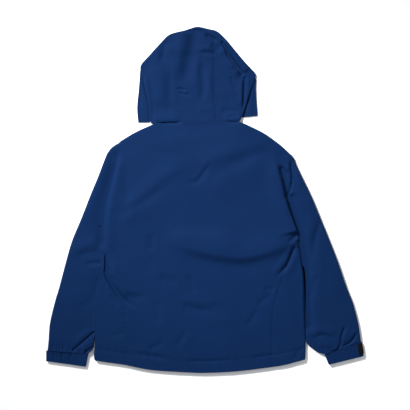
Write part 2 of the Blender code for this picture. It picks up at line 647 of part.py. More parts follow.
def cuff(side):
    """A cuff band with its gathers, and the hook-and-loop tab on it."""
    hand = "left" if side < 0 else "right"
    corners = CUFF_CORNERS[hand]
    gathers = GATHERS[hand]
    layers = Layers(CUFF_WALL, CUFF_SLACK, None, base=CUFF_LIFT)
    out_direction = unit(corners["top_inner"], corners["top_outer"])
    in_direction = (-out_direction[0], -out_direction[1])
    gather_steps = gathers["count"] * 4
    top_shares = (spread(0.0, gathers["start"], 3)[1:] + spread(gathers["start"], gathers["end"], gather_steps)[1:]
                  + spread(gathers["end"], 1.0, 6)[1:-1])
    rows = []
    for v in spread(0.0, 1.0, 3):
        outer_edge = blend(corners["top_outer"], corners["end_outer"], v)
        inner_edge = blend(corners["top_inner"], corners["end_inner"], v)
        start, end = layers.inset(outer_edge, out_direction), layers.inset(inner_edge, in_direction)
        ring = [layers.bend(outer_edge, out_direction, angle) for angle in (-54, -18, 18, 54, 90)]
        for u in top_shares:
            outside, inside = layers.upper(*blend(start, end, u))
            if gathers["start"] < u < gathers["end"]:
                turn = (u - gathers["start"]) / (gathers["end"] - gathers["start"]) * gathers["count"]
                fade = 1.0 - 0.6 * v
                dip = gathers["depth"] * fade * (0.5 - 0.5 * math.cos(2 * math.pi * turn))
                outside = (outside[0], outside[1], outside[2] - dip)
            ring.append((outside, inside))
        ring += [layers.bend(inner_edge, in_direction, angle) for angle in (90, 54, 18, -18, -54, -90)]
        for k in range(1, UNDER_COLUMNS):
            ring.append(layers.lower(*blend(end, start, k / UNDER_COLUMNS)))
        ring.append(layers.bend(outer_edge, out_direction, -90))
        rows.append(ring)
    wall("cuff_" + hand, *split_rows(rows), closed=True)
    cuff_tab(hand, layers, corners, out_direction)


def cuff_tab(hand, layers, corners, out_direction):
    """The tab lies a seam's gap off the cuff: round its edge on the right, under it on the left."""
    thickness = 1.4 * MM
    off = 0.45 * MM
    from_cuff = Layers(CUFF_WALL + off, CUFF_SLACK, None, base=CUFF_LIFT - off)
    top_side = Layers(CUFF_WALL + off + thickness, CUFF_SLACK, None, base=CUFF_LIFT - off - thickness)
    rows = []
    for v in spread(0.10, 0.86, 4):
        edge = blend(corners["top_outer"], corners["end_outer"], v)
        inside_edge = moved(edge, out_direction, 1.5 * off / CM)
        outside_edge = moved(edge, out_direction, (1.5 * off + thickness) / CM)
        row = []
        if hand == "right":
            for inward in spread(1.3, 0.45, 2)[:-1]:
                x, y = moved(edge, out_direction, -inward)
                row.append((top_side.upper(x, y)[0], from_cuff.upper(x, y)[0]))
            for angle in (90, 60, 30, 0, -30, -60):
                row.append((top_side.bend(outside_edge, out_direction, angle)[0],
                            from_cuff.bend(inside_edge, out_direction, angle)[0]))
        for inward in spread(0.45, 3.2, 3):
            x, y = moved(edge, out_direction, -inward)
            row.append((top_side.lower(x, y)[0], from_cuff.lower(x, y)[0]))
        rows.append(row)
    wall("cuff_tab_" + hand, *split_rows(rows), material="black_hook_loop")


# ---- Hood ----------------------------------------------------------------------------------------------
def hood_sink(x, y):
    """Between the two under layers the hood sinks towards the floor."""
    ease = 3.0
    inside = (smoothstep((x - FACE_OPENING["left"]) / ease) * smoothstep((FACE_OPENING["right"] - x) / ease)
              * smoothstep((FACE_OPENING["crown"] - y) / ease))
    return (HOOD_WALL + HOOD_SLACK - HOOD_REST) * inside


FACE_OPENING = {"left": -12.6, "right": 9.0, "crown": 42.6}     # centimetres
HOOD_REST = 1.6 * MM            # the hood's upper layer stays this far off the floor there
HOOD = Layers(HOOD_WALL, HOOD_SLACK, Folds(HOOD_FOLDS), sink=hood_sink)
HOOD_ROWS = 13
SEAM_SPLIT = 0.70               # how far up the seam that stretch starts


def hood_center():
    left_seam, right_seam = walk(HOOD_LEFT_SEAM), walk(HOOD_RIGHT_SEAM)
    columns = spread(0.0, 1.0, 6)

    def left(v):
        x, y = left_seam(v)
        return (x + GAP / 2, y)

    def right(v):
        x, y = right_seam(v)
        return (x - GAP / 2, y)

    def neck(u):
        x = left(0.0)[0] + (right(0.0)[0] - left(0.0)[0]) * u
        return (x, read_off(NECK_SEAM, x) + GAP)

    def crown_edge(u):
        x = HOOD_CROWN[0][0] + (HOOD_CROWN[-1][0] - HOOD_CROWN[0][0]) * u
        return (x, read_off(HOOD_CROWN, x))

    up = (0.0, 1.0)

    def crown(u):
        return HOOD.inset(crown_edge(u), up)

    def fitted(seam, end, v):
        """The seam, eased so that its last point is the given one."""
        point, last = seam(v), seam(1.0)
        return (point[0] + (end[0] - last[0]) * v, point[1] + (end[1] - last[1]) * v)

    def left_fit(v):
        return fitted(left, crown(0.0), v)

    def right_fit(v):
        return fitted(right, crown(1.0), v)

    rows = [[HOOD.upper(*patch(neck, crown, left_fit, right_fit, u, v)) for u in columns]
            for v in spread(0.0, 1.0, HOOD_ROWS + 4)]
    for angle in (54, 18, -18, -54, -90):
        rows.append([HOOD.bend(crown_edge(u), up, angle) for u in columns])
    face_y = FACE_LEFT[-1][1]
    for t in (0.5, 1.0):
        row = []
        for u in columns:
            x, y = crown(u)
            row.append(HOOD.lower(x, y + (face_y - y) * t))
        rows.append(row)
    wall("hood_center", *split_rows(rows))


def hood_side(side):
    name = "hood_left" if side < 0 else "hood_right"
    edge = walk(HOOD_LEFT_EDGE if side < 0 else HOOD_RIGHT_EDGE)
    seam = walk(HOOD_LEFT_SEAM if side < 0 else HOOD_RIGHT_SEAM)
    face = walk(FACE_LEFT if side < 0 else FACE_RIGHT)

    def seam_at(share):
        x, y = seam(share)
        return (x + side * GAP / 2, y)

    def direction(v):
        out = outward(edge, v, -side)
        turn = smoothstep((v - 0.85) / 0.15)
        mixed = blend(out, (0.0, 1.0), turn)
        length = math.hypot(*mixed)
        return (mixed[0] / length, mixed[1] / length)

    def fold_start(v):
        return HOOD.inset(edge(v), direction(v))

    def low(u):
        """The lower edge: along the neck seam, then up past its end to the fold."""
        a, b = seam_at(0.0), fold_start(0.0)
        neck_end = NECK_SEAM[0 if side < 0 else -1]
        x = a[0] + (b[0] - a[0]) * u
        if u < 1.0:
            return (x, read_off(NECK_SEAM, x) + GAP + max(0.0, (x - neck_end[0]) * side))
        return b

    def seam_low(v):
        return seam_at(SEAM_SPLIT * v)

    def high(u):
        if u > 1 - 1e-6:
            return fold_start(1.0)
        return seam_at(SEAM_SPLIT + (1.0 - SEAM_SPLIT) * u)

    rows = []
    for v in spread(0.0, 1.0, HOOD_ROWS):
        row = [HOOD.upper(*patch(low, high, seam_low, fold_start, u, v)) for u in spread(0.0, 1.0, 5)[:-1]]
        for angle in (90, 54, 18, -18, -54, -90):
            row.append(HOOD.bend(edge(v), direction(v), angle))
        start = fold_start(v)
        for t in (0.5, 1.0):
            row.append(HOOD.lower(*blend(start, face(v), t)))
        rows.append(row)
    wall(name, *split_rows(rows))


def hood_front(side):
    """The hood's front edge at a lower corner, which shows beside the folded hood."""
    name = "hood_front_left" if side < 0 else "hood_front_right"
    outer_line = walk(FLAP_LEFT_OUTER if side < 0 else FLAP_RIGHT_OUTER)
    edge = walk(HOOD_LEFT_EDGE if side < 0 else HOOD_RIGHT_EDGE)
    edge_rows = 6 if side < 0 else 5
    thickness = 4.0 * MM
    rows = []
    for k, v in enumerate(spread(0.0, 1.0, edge_rows)):
        share = k / HOOD_ROWS       # the hood side's own rows, so that the two edges run side by side
        inner = moved(edge(share), outward(edge, share, -side), GAP * 1.2)
        row = []
        for t in spread(0.0, 1.0, 3):
            x, y = blend(inner, outer_line(v), t)
            height = thickness * (1.0 - 0.25 * t * t)
            row.append(((x * CM, y * CM, height), (x * CM, y * CM, 0.0)))
        rows.append(row)
    wall(name, *split_rows(rows))


# ---- Front zip -----------------------------------------------------------------------------------------
TAPE_HALF = 16.0 * MM
TAPE_LOW = 5.3 * MM
TAPE_EDGE = 5.4 * MM            # the tape thins towards its edges
TAPE_HIGH = 5.9 * MM
CHAIN_HALF = 2.2 * MM
CHAIN_LOW = 3.9 * MM
SLIDER_Y = 12.2 * CM
HINGE_Z = 1.45 * MM
PIN_RADIUS = 0.35 * MM
EYE_HOLE = 0.65 * MM
EYE_RADIUS = 1.1 * MM


def zip_tape():
    half = [(TAPE_HALF, TAPE_EDGE), (CHAIN_HALF, TAPE_LOW), (CHAIN_HALF, CHAIN_LOW)]
    outline = [(CENTRE_X + x, z) for x, z in half]
    outline += [(CENTRE_X - x, z) for x, z in reversed(half)]
    outline += [(CENTRE_X - TAPE_HALF, TAPE_HIGH), (CENTRE_X + TAPE_HALF, TAPE_HIGH)]
    low = read_off(HEM, CENTRE_X / CM) * CM + 6 * MM
    prism("front_zip", outline, low, FRONT_NECK_Y * CM - 3 * MM, "Y", "zip_tape")


def zip_slider():
    """A plate under the chain with a flange up each side, and two lugs with the hinge pin between them."""
    plate_low, plate_high, flange_top = 2.85 * MM, 3.6 * MM, 4.9 * MM
    outline = [(-3.0, plate_low), (3.0, plate_low), (3.0, flange_top), (2.5, flange_top),
               (2.5, plate_high), (-2.5, plate_high), (-2.5, flange_top), (-3.0, flange_top)]
    body = prism("zip_slider", [(CENTRE_X + x * MM, z) for x, z in outline],
                 SLIDER_Y - 4 * MM, SLIDER_Y + 6 * MM, "Y", "zip_metal")
    parts = []
    lug = [(SLIDER_Y - 0.9 * MM, 0.6 * MM), (SLIDER_Y + 0.9 * MM, 0.6 * MM),
           (SLIDER_Y + 1.3 * MM, 3.2 * MM), (SLIDER_Y - 1.3 * MM, 3.2 * MM)]
    for side in (-1, 1):
        low, high = sorted((CENTRE_X + side * 1.3 * MM, CENTRE_X + side * 2.0 * MM))
        parts.append(prism("lug_guide", lug, low, high, "X", "zip_metal"))
    pin = [(SLIDER_Y + PIN_RADIUS * math.cos(math.radians(a)), HINGE_Z + PIN_RADIUS * math.sin(math.radians(a)))
           for a in range(20, 380, 60)]
    parts.append(prism("pin_guide", pin, CENTRE_X - 1.6 * MM, CENTRE_X + 1.6 * MM, "X", "zip_metal"))
    for part in parts:
        part.hide_render = True
        part.hide_viewport = False
        part.display_type = "WIRE"
        joined = body.modifiers.new(part.name, "BOOLEAN")
        joined.operation = "UNION"
        joined.solver = "EXACT"
        joined.object = part


def zip_pull():
    """The pull tab: an eye round the pin and a flat tab that points down the zip, its origin on the pin."""
    shape = bmesh.new()
    steps = 12
    eye_half = 1.0 * MM
    tab_half = 0.6 * MM
    length = 22.0 * MM
    rings = []
    for x in (-eye_half, eye_half):
        for radius in (EYE_RADIUS, EYE_HOLE):
            rings.append([shape.verts.new((x, radius * math.cos(math.radians(30 * k + 15)),
                                           radius * math.sin(math.radians(30 * k + 15))))
                          for k in range(steps)])
    outer_left, hole_left, outer_right, hole_right = rings
    open_cell = 5                # the cell of the eye that faces -Y, where the tab grows out
    for k in range(steps):
        n = (k + 1) % steps
        shape.faces.new((outer_left[k], outer_left[n], hole_left[n], hole_left[k]))
        shape.faces.new((outer_right[n], outer_right[k], hole_right[k], hole_right[n]))
        shape.faces.new((hole_left[k], hole_left[n], hole_right[n], hole_right[k]))
        if k != open_cell:
            shape.faces.new((outer_left[n], outer_left[k], outer_right[k], outer_right[n]))
    a, b = outer_left[open_cell], outer_left[(open_cell + 1) % steps]
    c, d = outer_right[(open_cell + 1) % steps], outer_right[open_cell]
    previous = [a, b, c, d]
    for y, half in ((-4.0 * MM, 1.6 * MM), (-8.0 * MM, 2.6 * MM), (-length, 2.6 * MM)):
        ring = [shape.verts.new((-half, y, tab_half)), shape.verts.new((-half, y, -tab_half)),
                shape.verts.new((half, y, -tab_half)), shape.verts.new((half, y, tab_half))]
        for k in range(4):
            n = (k + 1) % 4
            shape.faces.new((previous[n], previous[k], ring[k], ring[n]))
        previous = ring
    shape.faces.new(previous)
    bmesh.ops.triangulate(shape, faces=shape.faces)
    bmesh.ops.recalc_face_normals(shape, faces=shape.faces)
    if shape.calc_volume(signed=True) < 0:
        bmesh.ops.reverse_faces(shape, faces=shape.faces)
    mesh = bpy.data.meshes.new("zip_pull")
    shape.to_mesh(mesh)
    shape.free()
    pull = place("zip_pull", mesh, "zip_metal")
    pull.location = (CENTRE_X, SLIDER_Y, HINGE_Z)


# ---- The jacket ----------------------------------------------------------------------------------------
for old in list(bpy.data.objects):
    bpy.data.objects.remove(old, do_unlink=True)
back()
for hand_side in (-1, 1):
    front(hand_side)
    sleeve(hand_side)
    cuff(hand_side)
    hood_side(hand_side)
    hood_front(hand_side)
hood_center()
zip_tape()
zip_slider()
zip_pull()
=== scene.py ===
import math

import bpy
import numpy as np
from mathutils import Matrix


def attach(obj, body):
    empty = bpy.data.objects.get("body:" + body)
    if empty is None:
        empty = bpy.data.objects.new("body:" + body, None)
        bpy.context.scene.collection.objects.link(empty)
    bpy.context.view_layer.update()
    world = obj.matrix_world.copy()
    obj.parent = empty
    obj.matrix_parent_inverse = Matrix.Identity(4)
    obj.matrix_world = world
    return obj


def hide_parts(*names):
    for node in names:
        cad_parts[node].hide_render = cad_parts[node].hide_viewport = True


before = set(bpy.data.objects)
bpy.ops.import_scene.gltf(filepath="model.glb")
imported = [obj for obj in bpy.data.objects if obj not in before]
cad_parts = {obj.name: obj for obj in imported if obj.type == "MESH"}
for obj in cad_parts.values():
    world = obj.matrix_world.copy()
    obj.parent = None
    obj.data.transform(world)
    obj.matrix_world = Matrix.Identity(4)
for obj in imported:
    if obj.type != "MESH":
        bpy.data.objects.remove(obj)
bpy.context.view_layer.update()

# ======== Back panel =====================================================================================
# The back, from the neck seam down to the turned-up hem, between two side seams that lie well round on it.
# Plain-woven navy shell, thin wadding and lining are sewn together as one layer. It was laid down last, so
# it shows the billows and creases of the whole body.
CM = 0.01
MM = 0.001
SIDES = {-1: "left", 1: "right"}        # as the photograph shows them
PANEL_PITCH = 0.24              # centimetres between the points of a panel
BODY_WALL = 5 * MM
BODY_SLACK = 1.5 * MM
THINNEST_CLOTH = 0.16           # share of the padding that is left in the bottom of a crease
SAG = 0.8                       # share of the slack that the lining can take up
HIGHEST_LINING = 2.2 * MM
SEAM_GAP = 0.015                # centimetres between two panels at a seam
SEAM_LAP = 1.2                  # millimetres that one panel's allowance reaches under the other
UNEVEN_PADDING = ((6.5, 0.55 * MM), (2.4, 0.20 * MM))     # centimetres apart, and height
UNEVEN_UNDERSIDE = (5, 0.12 * MM)
LATTICE = 96                    # points each way in the pattern of uneven padding
RIM_CLOSING = 0.04              # how far a free edge's two skins draw together
SHARP_ANGLE = math.radians(48)
NARROW_FOLD_STEPS = 10          # lines round a folded edge
FOLD_STEPS = 12

# outlines that run up the jacket: rows of y and x in centimetres
OUTER_SIDE = {
    -1: ((-45.6, -30.2), (-44.6, -31.1), (-41.3, -31), (-34.3, -30.7), (-27.3, -30.2), (-22.6, -29.1),
         (-20.2, -28.5), (-15.5, -28.4), (-13, -28.5)),
    1: ((-45.2, 27.8), (-44.4, 28.1), (-39.6, 28.2), (-30.4, 27.8), (-21.5, 27.6), (-15.6, 26.7),
        (-11.1, 25.9), (-9, 25.9)),
}
SIDE_SEAM = {
    -1: ((-47, -21.9), (-42.2, -22), (-36.6, -22.5), (-29.9, -22.8), (-27.6, -23.5), (-24.5, -25.9),
         (-21.7, -27.4), (-18.4, -27.7), (-14, -27.8)),
    1: ((-47.4, 18.8), (-42.2, 18.8), (-31.6, 18.9), (-27.4, 19.9), (-19.8, 22.5), (-11.2, 25.1)),
}
ARMHOLE = {
    -1: ((-14, -28.5), (-10.9, -28.6), (-5.7, -28.4), (-1, -27.6), (6, -25.9), (9.3, -25.1), (13.4, -24.4)),
    1: ((-11.2, 25.95), (-9.2, 25.75), (-6.6, 24.8), (-3.3, 23.75), (-0.2, 22.8), (1.2, 22.9), (2.8, 23.75),
        (5, 24.35), (8.4, 24.2)),
}
UNDER_ARMHOLE = {
    -1: ARMHOLE[-1],
    1: ((-11.2, 25.9), (-9.1, 25.8), (-3.5, 25), (1.5, 24.5), (7.8, 24)),
}
# outlines that run across it: rows of x and y in centimetres
SHOULDER_POINTS = {-1: ((-24.3, 15.9), (-0.64, 0.77)), 1: ((23.9, 12.8), (0.69, 0.72))}
SHOULDER = {
    -1: ((-24.3, 15.9), (-23.8, 16.4), (-19.4, 19), (-14.6, 21.2)),
    1: ((9.6, 21.9), (11.4, 21.2), (16.6, 18.6), (19.5, 16.6), (21.6, 14.95), (23.9, 12.8)),
}
NECK_SEAM = ((-14.6, 21.2), (-12.8, 21.65), (-8.3, 21.85), (-2.5, 21.75), (6.3, 22.05), (9.6, 21.9))
NECK_ENDS = {-1: -14.6, 1: 9.6}
HEM = ((-31.2, -44.6), (-30.3, -45.15), (-22.6, -46.3), (-15.3, -47.7), (-4.2, -48.45), (-0.3, -48.55),
       (7.8, -48.2), (16.6, -47.2), (22.5, -46.3), (25.4, -45.5), (28.2, -44.8))
HEM_STITCH = ((-30.6, -41.7), (-22, -43.2), (-14.6, -44.4), (-9.7, -45.1), (-3.5, -45.3), (6.8, -44.9),
              (16.3, -43.9), (22.5, -42.9), (27.7, -41.6))
HEM_SEAM_X = {-1: -22, 1: 18.8}
HEM_RADIUS = 0.24
UNDERARM_Y = {-1: -14, 1: -11.2}
UNDERARM_SHARE = 0.5
NECK_MIDDLE_X = -2.5
NECK_HALF = 12.1
NECK_DEPTH = 7.4
FRONT_NECK_Y = 14
NECK_SINK = 4.4 * MM
NECK_SINK_START = -4            # centimetres above the front neckline
NECK_SINK_LENGTH = 12

# Folds: the crest as points (x, y) in centimetres, its reach to the left and right of the way it runs in
# centimetres, its height in millimetres, how much of each end fades out, and how far apart its puckers are.
FOLD_COLUMNS = ("line", "left", "right", "height", "fade_in", "fade_out", "pucker")
PLAIN_FOLD = {"fade_in": 0.3, "fade_out": 0.3, "pucker": None}
FOLD_ROOM = 2.6                 # how far out a fold is felt, in reaches
LEFT_VALLEY = (((-24.35, 14.6), (-24.5, 13.4), (-25.1, 9.3), (-26.1, 5.2), (-27.5, -0.6), (-28.4, -5.7),
                (-28.6, -10.9), (-28.5, -14.6)), 0.75, 2.3, -4.6, 0.1, 0.1)
RIGHT_ARMHOLE_DIP = (((24, 11.6), (24.25, 7.8), (24.4, 5), (23.8, 2.6), (22.9, 0.9)),
                     0.4, 0.4, -4.4, 0.2, 0.05)
BACK_FOLDS = (
    LEFT_VALLEY,
    # the big fold across the middle: a long rise from above, then a steep drop
    (((-13, -11.2), (-7, -12.4), (-3.5, -13.7), (2.7, -15.1), (8.9, -15.9), (13, -15.6), (19.2, -13.9),
      (23.3, -12.2), (26, -10.7)), 4.6, 1.55, 7.4, 0.4, 0.15),
    (((-13, -12.3), (-7, -10.9), (0, -10.6), (5.6, -11.7), (11.2, -13.4)), 2.2, 4.8, 3.9),
    (((-4.5, -15.9), (2.7, -17.6), (8.9, -18.3), (14, -17.7), (19, -16.4)), 1, 3, -1.4),
    # bands over the shoulder blades, right
    (((-1.6, 9), (1.4, 10.8), (5.2, 12.6), (9.8, 14), (14.9, 15.7), (19.6, 16.8)), 2.3, 1.9, 2.6, 0.12, 0.3),
    (((-0.8, 2.2), (4.8, 4.9), (11.2, 7.8), (15.6, 11.2), (19, 13.6)), 2.4, 4.6, 3, 0.25, 0.3),
    (((-6.8, 5.7), (-4.6, 4.9), (-2.5, 5.1), (-1, 6.7), (0.5, 8.8), (2.4, 11)), 0.6, 0.9, -2.3, 0.45, 0.35),
    (((2.8, 7.9), (8.4, 10.4), (14, 12.4), (19.6, 14.2)), 1.6, 1.6, -1.3),
    # bands over the shoulder blades, left
    (((-23.6, -4.6), (-21.2, -2.1), (-15.5, 3.4), (-11.3, 6.9), (-7.6, 8.4), (-4.6, 8.4)),
     2.4, 1.9, 2.9, 0.2, 0.2),
    (((-25.4, -6.8), (-18.8, -3.9), (-14.5, -1.8), (-10.4, -0.4)), 1.8, 2.2, 2, 0.2, 0.35),
    (((-24, -4.4), (-18.3, -0.9), (-12.4, 2.6), (-8.5, 4.6)), 1, 1, -1),
    (((-23.2, 9.5), (-21.8, 2), (-22.6, -6.5)), 1.1, 1.5, -1.2),
    (((-15, 17), (-4, 17.6), (6, 18.4)), 1.6, 2.2, 1.2),
    (((-19, 14.6), (-10, 13), (-3, 12.4)), 1.2, 1.8, -1),
    # the body's edges roll down to the sleeves
    (((-23.9, 12.4), (-24.4, 9.3), (-25.2, 4.8), (-26.2, -0.6), (-26.7, -6), (-26.8, -11), (-26.7, -15.5)),
     1.9, 1, 2.3, 0.12, 0.15),
    (((18.7, 13.2), (19.5, 10.2), (20.5, 7), (21.4, 3.4), (22.1, 0.2), (23.3, -3.6), (24.9, -7.6),
      (25.4, -9.8)), 0.85, 3, 9.4, 0.30, 0.05),
    (((21.2, 9.8), (22.3, 6.3), (23, 2.9), (23.25, 0.2)), 0.7, 0.8, -10, 0.15, 0.02),
    RIGHT_ARMHOLE_DIP,
    (((20.6, 7), (21.9, 7.5), (23.6, 7.1)), 0.4, 0.5, -1.6, 0.2, 0.3),
    (((21, 8.7), (22.4, 9), (23.6, 8.4)), 0.6, 0.6, 1.8, 0.2, 0.2),
    (((22.6, 5.6), (23.2, 5.4), (23.5, 4.2)), 0.5, 0.5, 1.5, 0.2, 0.2),
    (((20, 11.8), (21.8, 12.6), (23.4, 12.2)), 1, 1, -0.9),
    # creases that run in from the right underarm
    (((26.2, -9.4), (24.9, -10.7), (23.2, -12.3)), 0.35, 0.55, -4.4, 0.05, 0.4),
    (((26.5, -10.4), (25, -12), (23.4, -13.8)), 0.7, 0.9, 2.2, 0.05, 0.4),
    (((25.3, -12.8), (24, -16), (22.6, -18.7), (19.9, -21.7)), 0.5, 0.45, -4.6, 0.08, 0.3),
    (((24, -13), (22.6, -16.2), (20.8, -18.6), (18.2, -21)), 1.2, 0.8, 2, 0.2, 0.3),
    (((26.2, -14.6), (24.4, -18.4), (22, -22)), 0.9, 0.9, 1.2, 0.2, 0.3),
    # the side seam on the left drags the cloth into a crease
    (((-28.35, -15.2), (-28.1, -18), (-27.75, -20.6)), 0.42, 0.42, -7.5, 0.15, 0.15),
    (((-28.2, -19), (-27.5, -21.4), (-26, -24.2), (-23.9, -27), (-21.6, -28.9), (-18.4, -30.9)),
     0.75, 0.5, -7, 0.05, 0.4),
    (((-26.6, -16.4), (-25.3, -20.2), (-23.6, -23.2), (-21.6, -25.8), (-19, -27.6)), 1.2, 1.3, 3.4),
    (((-22.9, -26.6), (-19.6, -27.2), (-15.6, -26.8)), 0.9, 1.2, -2.2, 0.2, 0.35),
    (((-27, -18.6), (-26.3, -20), (-25.4, -20.8)), 0.4, 0.5, -1.2),
    (((-26.6, -21.2), (-25.6, -22.2), (-24.6, -22.6)), 0.4, 0.5, -1),
    (((-27.6, -23.6), (-26.6, -25.4), (-25.2, -27.4)), 0.6, 0.7, 1.4, 0.2, 0.2),
    (((-26.6, -26.4), (-25.4, -28.4), (-24, -29.6)), 0.5, 0.5, -1.3, 0.2, 0.2),
    (((-15.3, -9), (-14.8, -11.8), (-15.2, -15)), 0.8, 1.2, -2.2),
    (((-12.4, -15.4), (-15.8, -18.6), (-17.8, -22.4)), 1.8, 1.8, -1),
    # soft hollows and rises of the lower back
    (((-7.4, -27.2), (-3.2, -28.6), (1.4, -28.6), (4.6, -27)), 2, 1.1, 1.6, 0.3, 0.35),
    (((-6.4, -29.2), (-3, -30.4), (0.4, -31), (2.6, -30.6)), 0.8, 1.6, -2, 0.2, 0.35),
    (((-13.4, -21.6), (-10.1, -22.4), (-7, -23)), 0.9, 1.5, -1.8),
    (((-4.8, -20.8), (-3.6, -23.7), (-2.8, -26.6)), 0.8, 1, -1.6),
    (((-16.2, -42.2), (-13.6, -40.9), (-11, -39.6)), 0.8, 0.9, -2.1, 0.25, 0.35),
    (((-8.2, -41.8), (-6.5, -38.9), (-5.6, -36.2)), 0.9, 0.9, -1.3, 0.25, 0.3),
    (((-6.2, -41.4), (-4.9, -39.2), (-4.4, -37)), 1, 1.2, 1, 0.25, 0.3),
    (((11.2, -36), (12.8, -33.8), (14, -32), (15.2, -30.4)), 0.8, 1, -1.7, 0.25, 0.25),
    (((14.4, -30.4), (15.8, -28.6), (17.6, -27.2), (19.4, -26.2)), 0.8, 0.9, -1.6, 0.25, 0.25),
    (((16.4, -25.4), (17.8, -25), (19.4, -25.6)), 0.8, 1, -2, 0.25, 0.25),
    (((-13.6, -27.2), (-13, -31), (-13.4, -35.6)), 1.3, 1.5, -1.6),
    (((11, -26), (9.8, -31), (12, -38)), 1.9, 1.9, -0.9),
    (((-1, -35), (4, -33.6), (8, -35.4)), 1.8, 1.8, 0.9),
    (((22, -22), (23.6, -30), (24.2, -40)), 1.6, 1.6, 1.2),
    (((24.6, -45), (26, -43), (27.4, -41.4)), 0.6, 0.6, -1.6, 0.2, 0.3),
    (((-26.6, -38.4), (-24.4, -37.6), (-22.4, -38)), 0.8, 0.9, -1.5),
    # padding over the shoulder blades and the waist
    (((-14, 12), (-2, 14.5), (12, 11)), 9, 9, 1.6, 0.22, 0.22),
    (((-20, -36), (-2, -40), (16, -36)), 8, 8, 1.6, 0.22, 0.22),
    # the seams pull the padding in, and pucker the cloth beside them
    (((-27.8, -14.6), (-27.7, -18.4), (-27.4, -21.7), (-25.9, -24.5), (-23.5, -27.6), (-22.8, -29.9),
      (-22.5, -36.6), (-22, -42.2), (-21.9, -46.6)), 0.35, 0.35, -0.4, 0.02, 0),
    (((-22.9, -29), (-22.5, -36.6), (-22, -42.2), (-21.9, -46.4)), 1, 1, -0.5, 0.1, 0, 1.7),
    (((25.1, -11.2), (22.5, -19.8), (19.9, -27.4), (18.9, -31.6), (18.8, -42.2), (18.8, -47)),
     0.35, 0.35, -0.3, 0.05, 0),
    (((19.2, -30), (18.8, -36), (18.8, -42.2), (18.8, -46.6)), 0.9, 0.9, -0.45, 0.1, 0, 2.1),
    (HEM_STITCH, 0.42, 0.32, -0.9, 0, 0),
    (HEM_STITCH, 1.3, 0.8, -0.7, 0, 0, 2.9),
    (((-21, -42.7), (-17, -43.5), (-12, -44.2), (-9, -44.6)), 0.7, 0.5, -2.6, 0.25, 0.3),
    (((-6, -45.3), (-2, -45.3), (3, -45.2), (8.4, -44.8)), 0.5, 0.42, -1.5, 0.25, 0.3),
    (((12.6, -44.3), (16, -43.9), (20.4, -43.2)), 0.5, 0.42, -1.1),
    (((-14.8, 21.2), (-12.8, 21.6), (-8.3, 21.8), (-6, 21.8)), 0.4, 0.42, -5.4, 0.42, 0.28),
    (((5, 22), (7.8, 22), (9.8, 21.9)), 0.4, 0.42, -3.6, 0.5, 0.15),
)
# creases of the hidden fronts, which only show from below
FRONT_FOLDS = (
    (((-26, -8), (-20, -12), (-12, -13)), 1.2, 1.2, 2),
    (((-27, -16), (-21, -21), (-14, -22)), 1, 1.4, 2.2, 0.25, 0.3),
    (((24, -6), (17, -9.5), (8, -9)), 1.3, 1, 2.1, 0.25, 0.3),
    (((25, -18), (18, -22), (9, -21)), 1, 1.3, 2.2, 0.25, 0.3),
    (((-20, 13), (-16, 4), (-10, -3)), 1.4, 1, 1.8),
    (((18, 12), (13, 3), (6, -2)), 1, 1.4, 1.8),
    (((-25, -34), (-16, -36.5), (-7, -34)), 1.3, 1.3, 1.7),
    (((5, -33), (13, -36.5), (23, -34.5)), 1.3, 1.3, 1.7),
    (HEM_STITCH, 0.4, 0.4, 0.9, 0, 0),
    (((-2.95, -46), (-2.95, 13)), 0.35, 0.35, 0.8, 0, 0),
    (((-1.05, -46), (-1.05, 13)), 0.35, 0.35, 0.8, 0, 0),
)


def ease(value):
    value = np.clip(value, 0.0, 1.0)
    return value * value * (3.0 - 2.0 * value)


def swell(value, centre, width):
    """A smooth bump that is 1 at its centre."""
    return np.exp(-((value - centre) / width) ** 2)


def blend(first, last, share):
    """What lies at a share of the way from first to last."""
    return first * (1 - share) + last * share


def unit(ways):
    """Directions (x, y) made one long."""
    return ways / np.hypot(ways[..., 0], ways[..., 1])[..., None]


def spread(start, end, count):
    return np.linspace(start, end, count + 1)


def stops(marks, pitch):
    """Values through all the marks, no further apart than the pitch."""
    parts = [spread(a, b, max(1, int(math.ceil(abs(b - a) / pitch)))) for a, b in zip(marks, marks[1:])]
    return np.concatenate([parts[0]] + [part[1:] for part in parts[1:]])


def read_off(rows, at):
    """The second column of a table at places in its first column, along a smooth curve."""
    a, b = np.array(sorted(rows), float).T
    slope = np.gradient(b, a)
    slope[1:-1] = (b[2:] - b[:-2]) / (a[2:] - a[:-2])
    at = np.clip(at, a[0], a[-1])
    k = np.clip(np.searchsorted(a, at, side="right") - 1, 0, len(a) - 2)
    span = a[k + 1] - a[k]
    t = (at - a[k]) / span
    return (b[k] * (1 + 2 * t) * (1 - t) ** 2 + slope[k] * span * t * (1 - t) ** 2
            + b[k + 1] * t * t * (3 - 2 * t) - slope[k + 1] * span * t * t * (1 - t))


def length_along(line):
    """The length of a line up to each of its points."""
    return np.concatenate([[0.0], np.cumsum(np.linalg.norm(np.diff(line, axis=0), axis=1))])


def walk(points, shares):
    """Points at shares of the length of a smooth line through a table of points (x, y)."""
    p = np.array(points, float)
    p = np.vstack([p[:1], p, p[-1:]])
    t = np.linspace(0.0, 1.0, 24, endpoint=False)[:, None]
    spans = [0.5 * (2 * b + (c - a) * t + (2 * a - 5 * b + 4 * c - d) * t ** 2
                    + (3 * b - a - 3 * c + d) * t ** 3) for a, b, c, d in zip(p, p[1:], p[2:], p[3:])]
    dense = np.vstack(spans + [p[-1:]])
    lengths = length_along(dense)
    goal = np.clip(shares, 0.0, 1.0) * lengths[-1]
    return np.column_stack([np.interp(goal, lengths, dense[:, k]) for k in (0, 1)])


def outward(points, shares, side):
    """The directions square to such a line, to its left (1) or right (-1)."""
    along = walk(points, shares + 0.02) - walk(points, shares - 0.02)
    return unit(np.column_stack([-along[:, 1], along[:, 0]])) * side


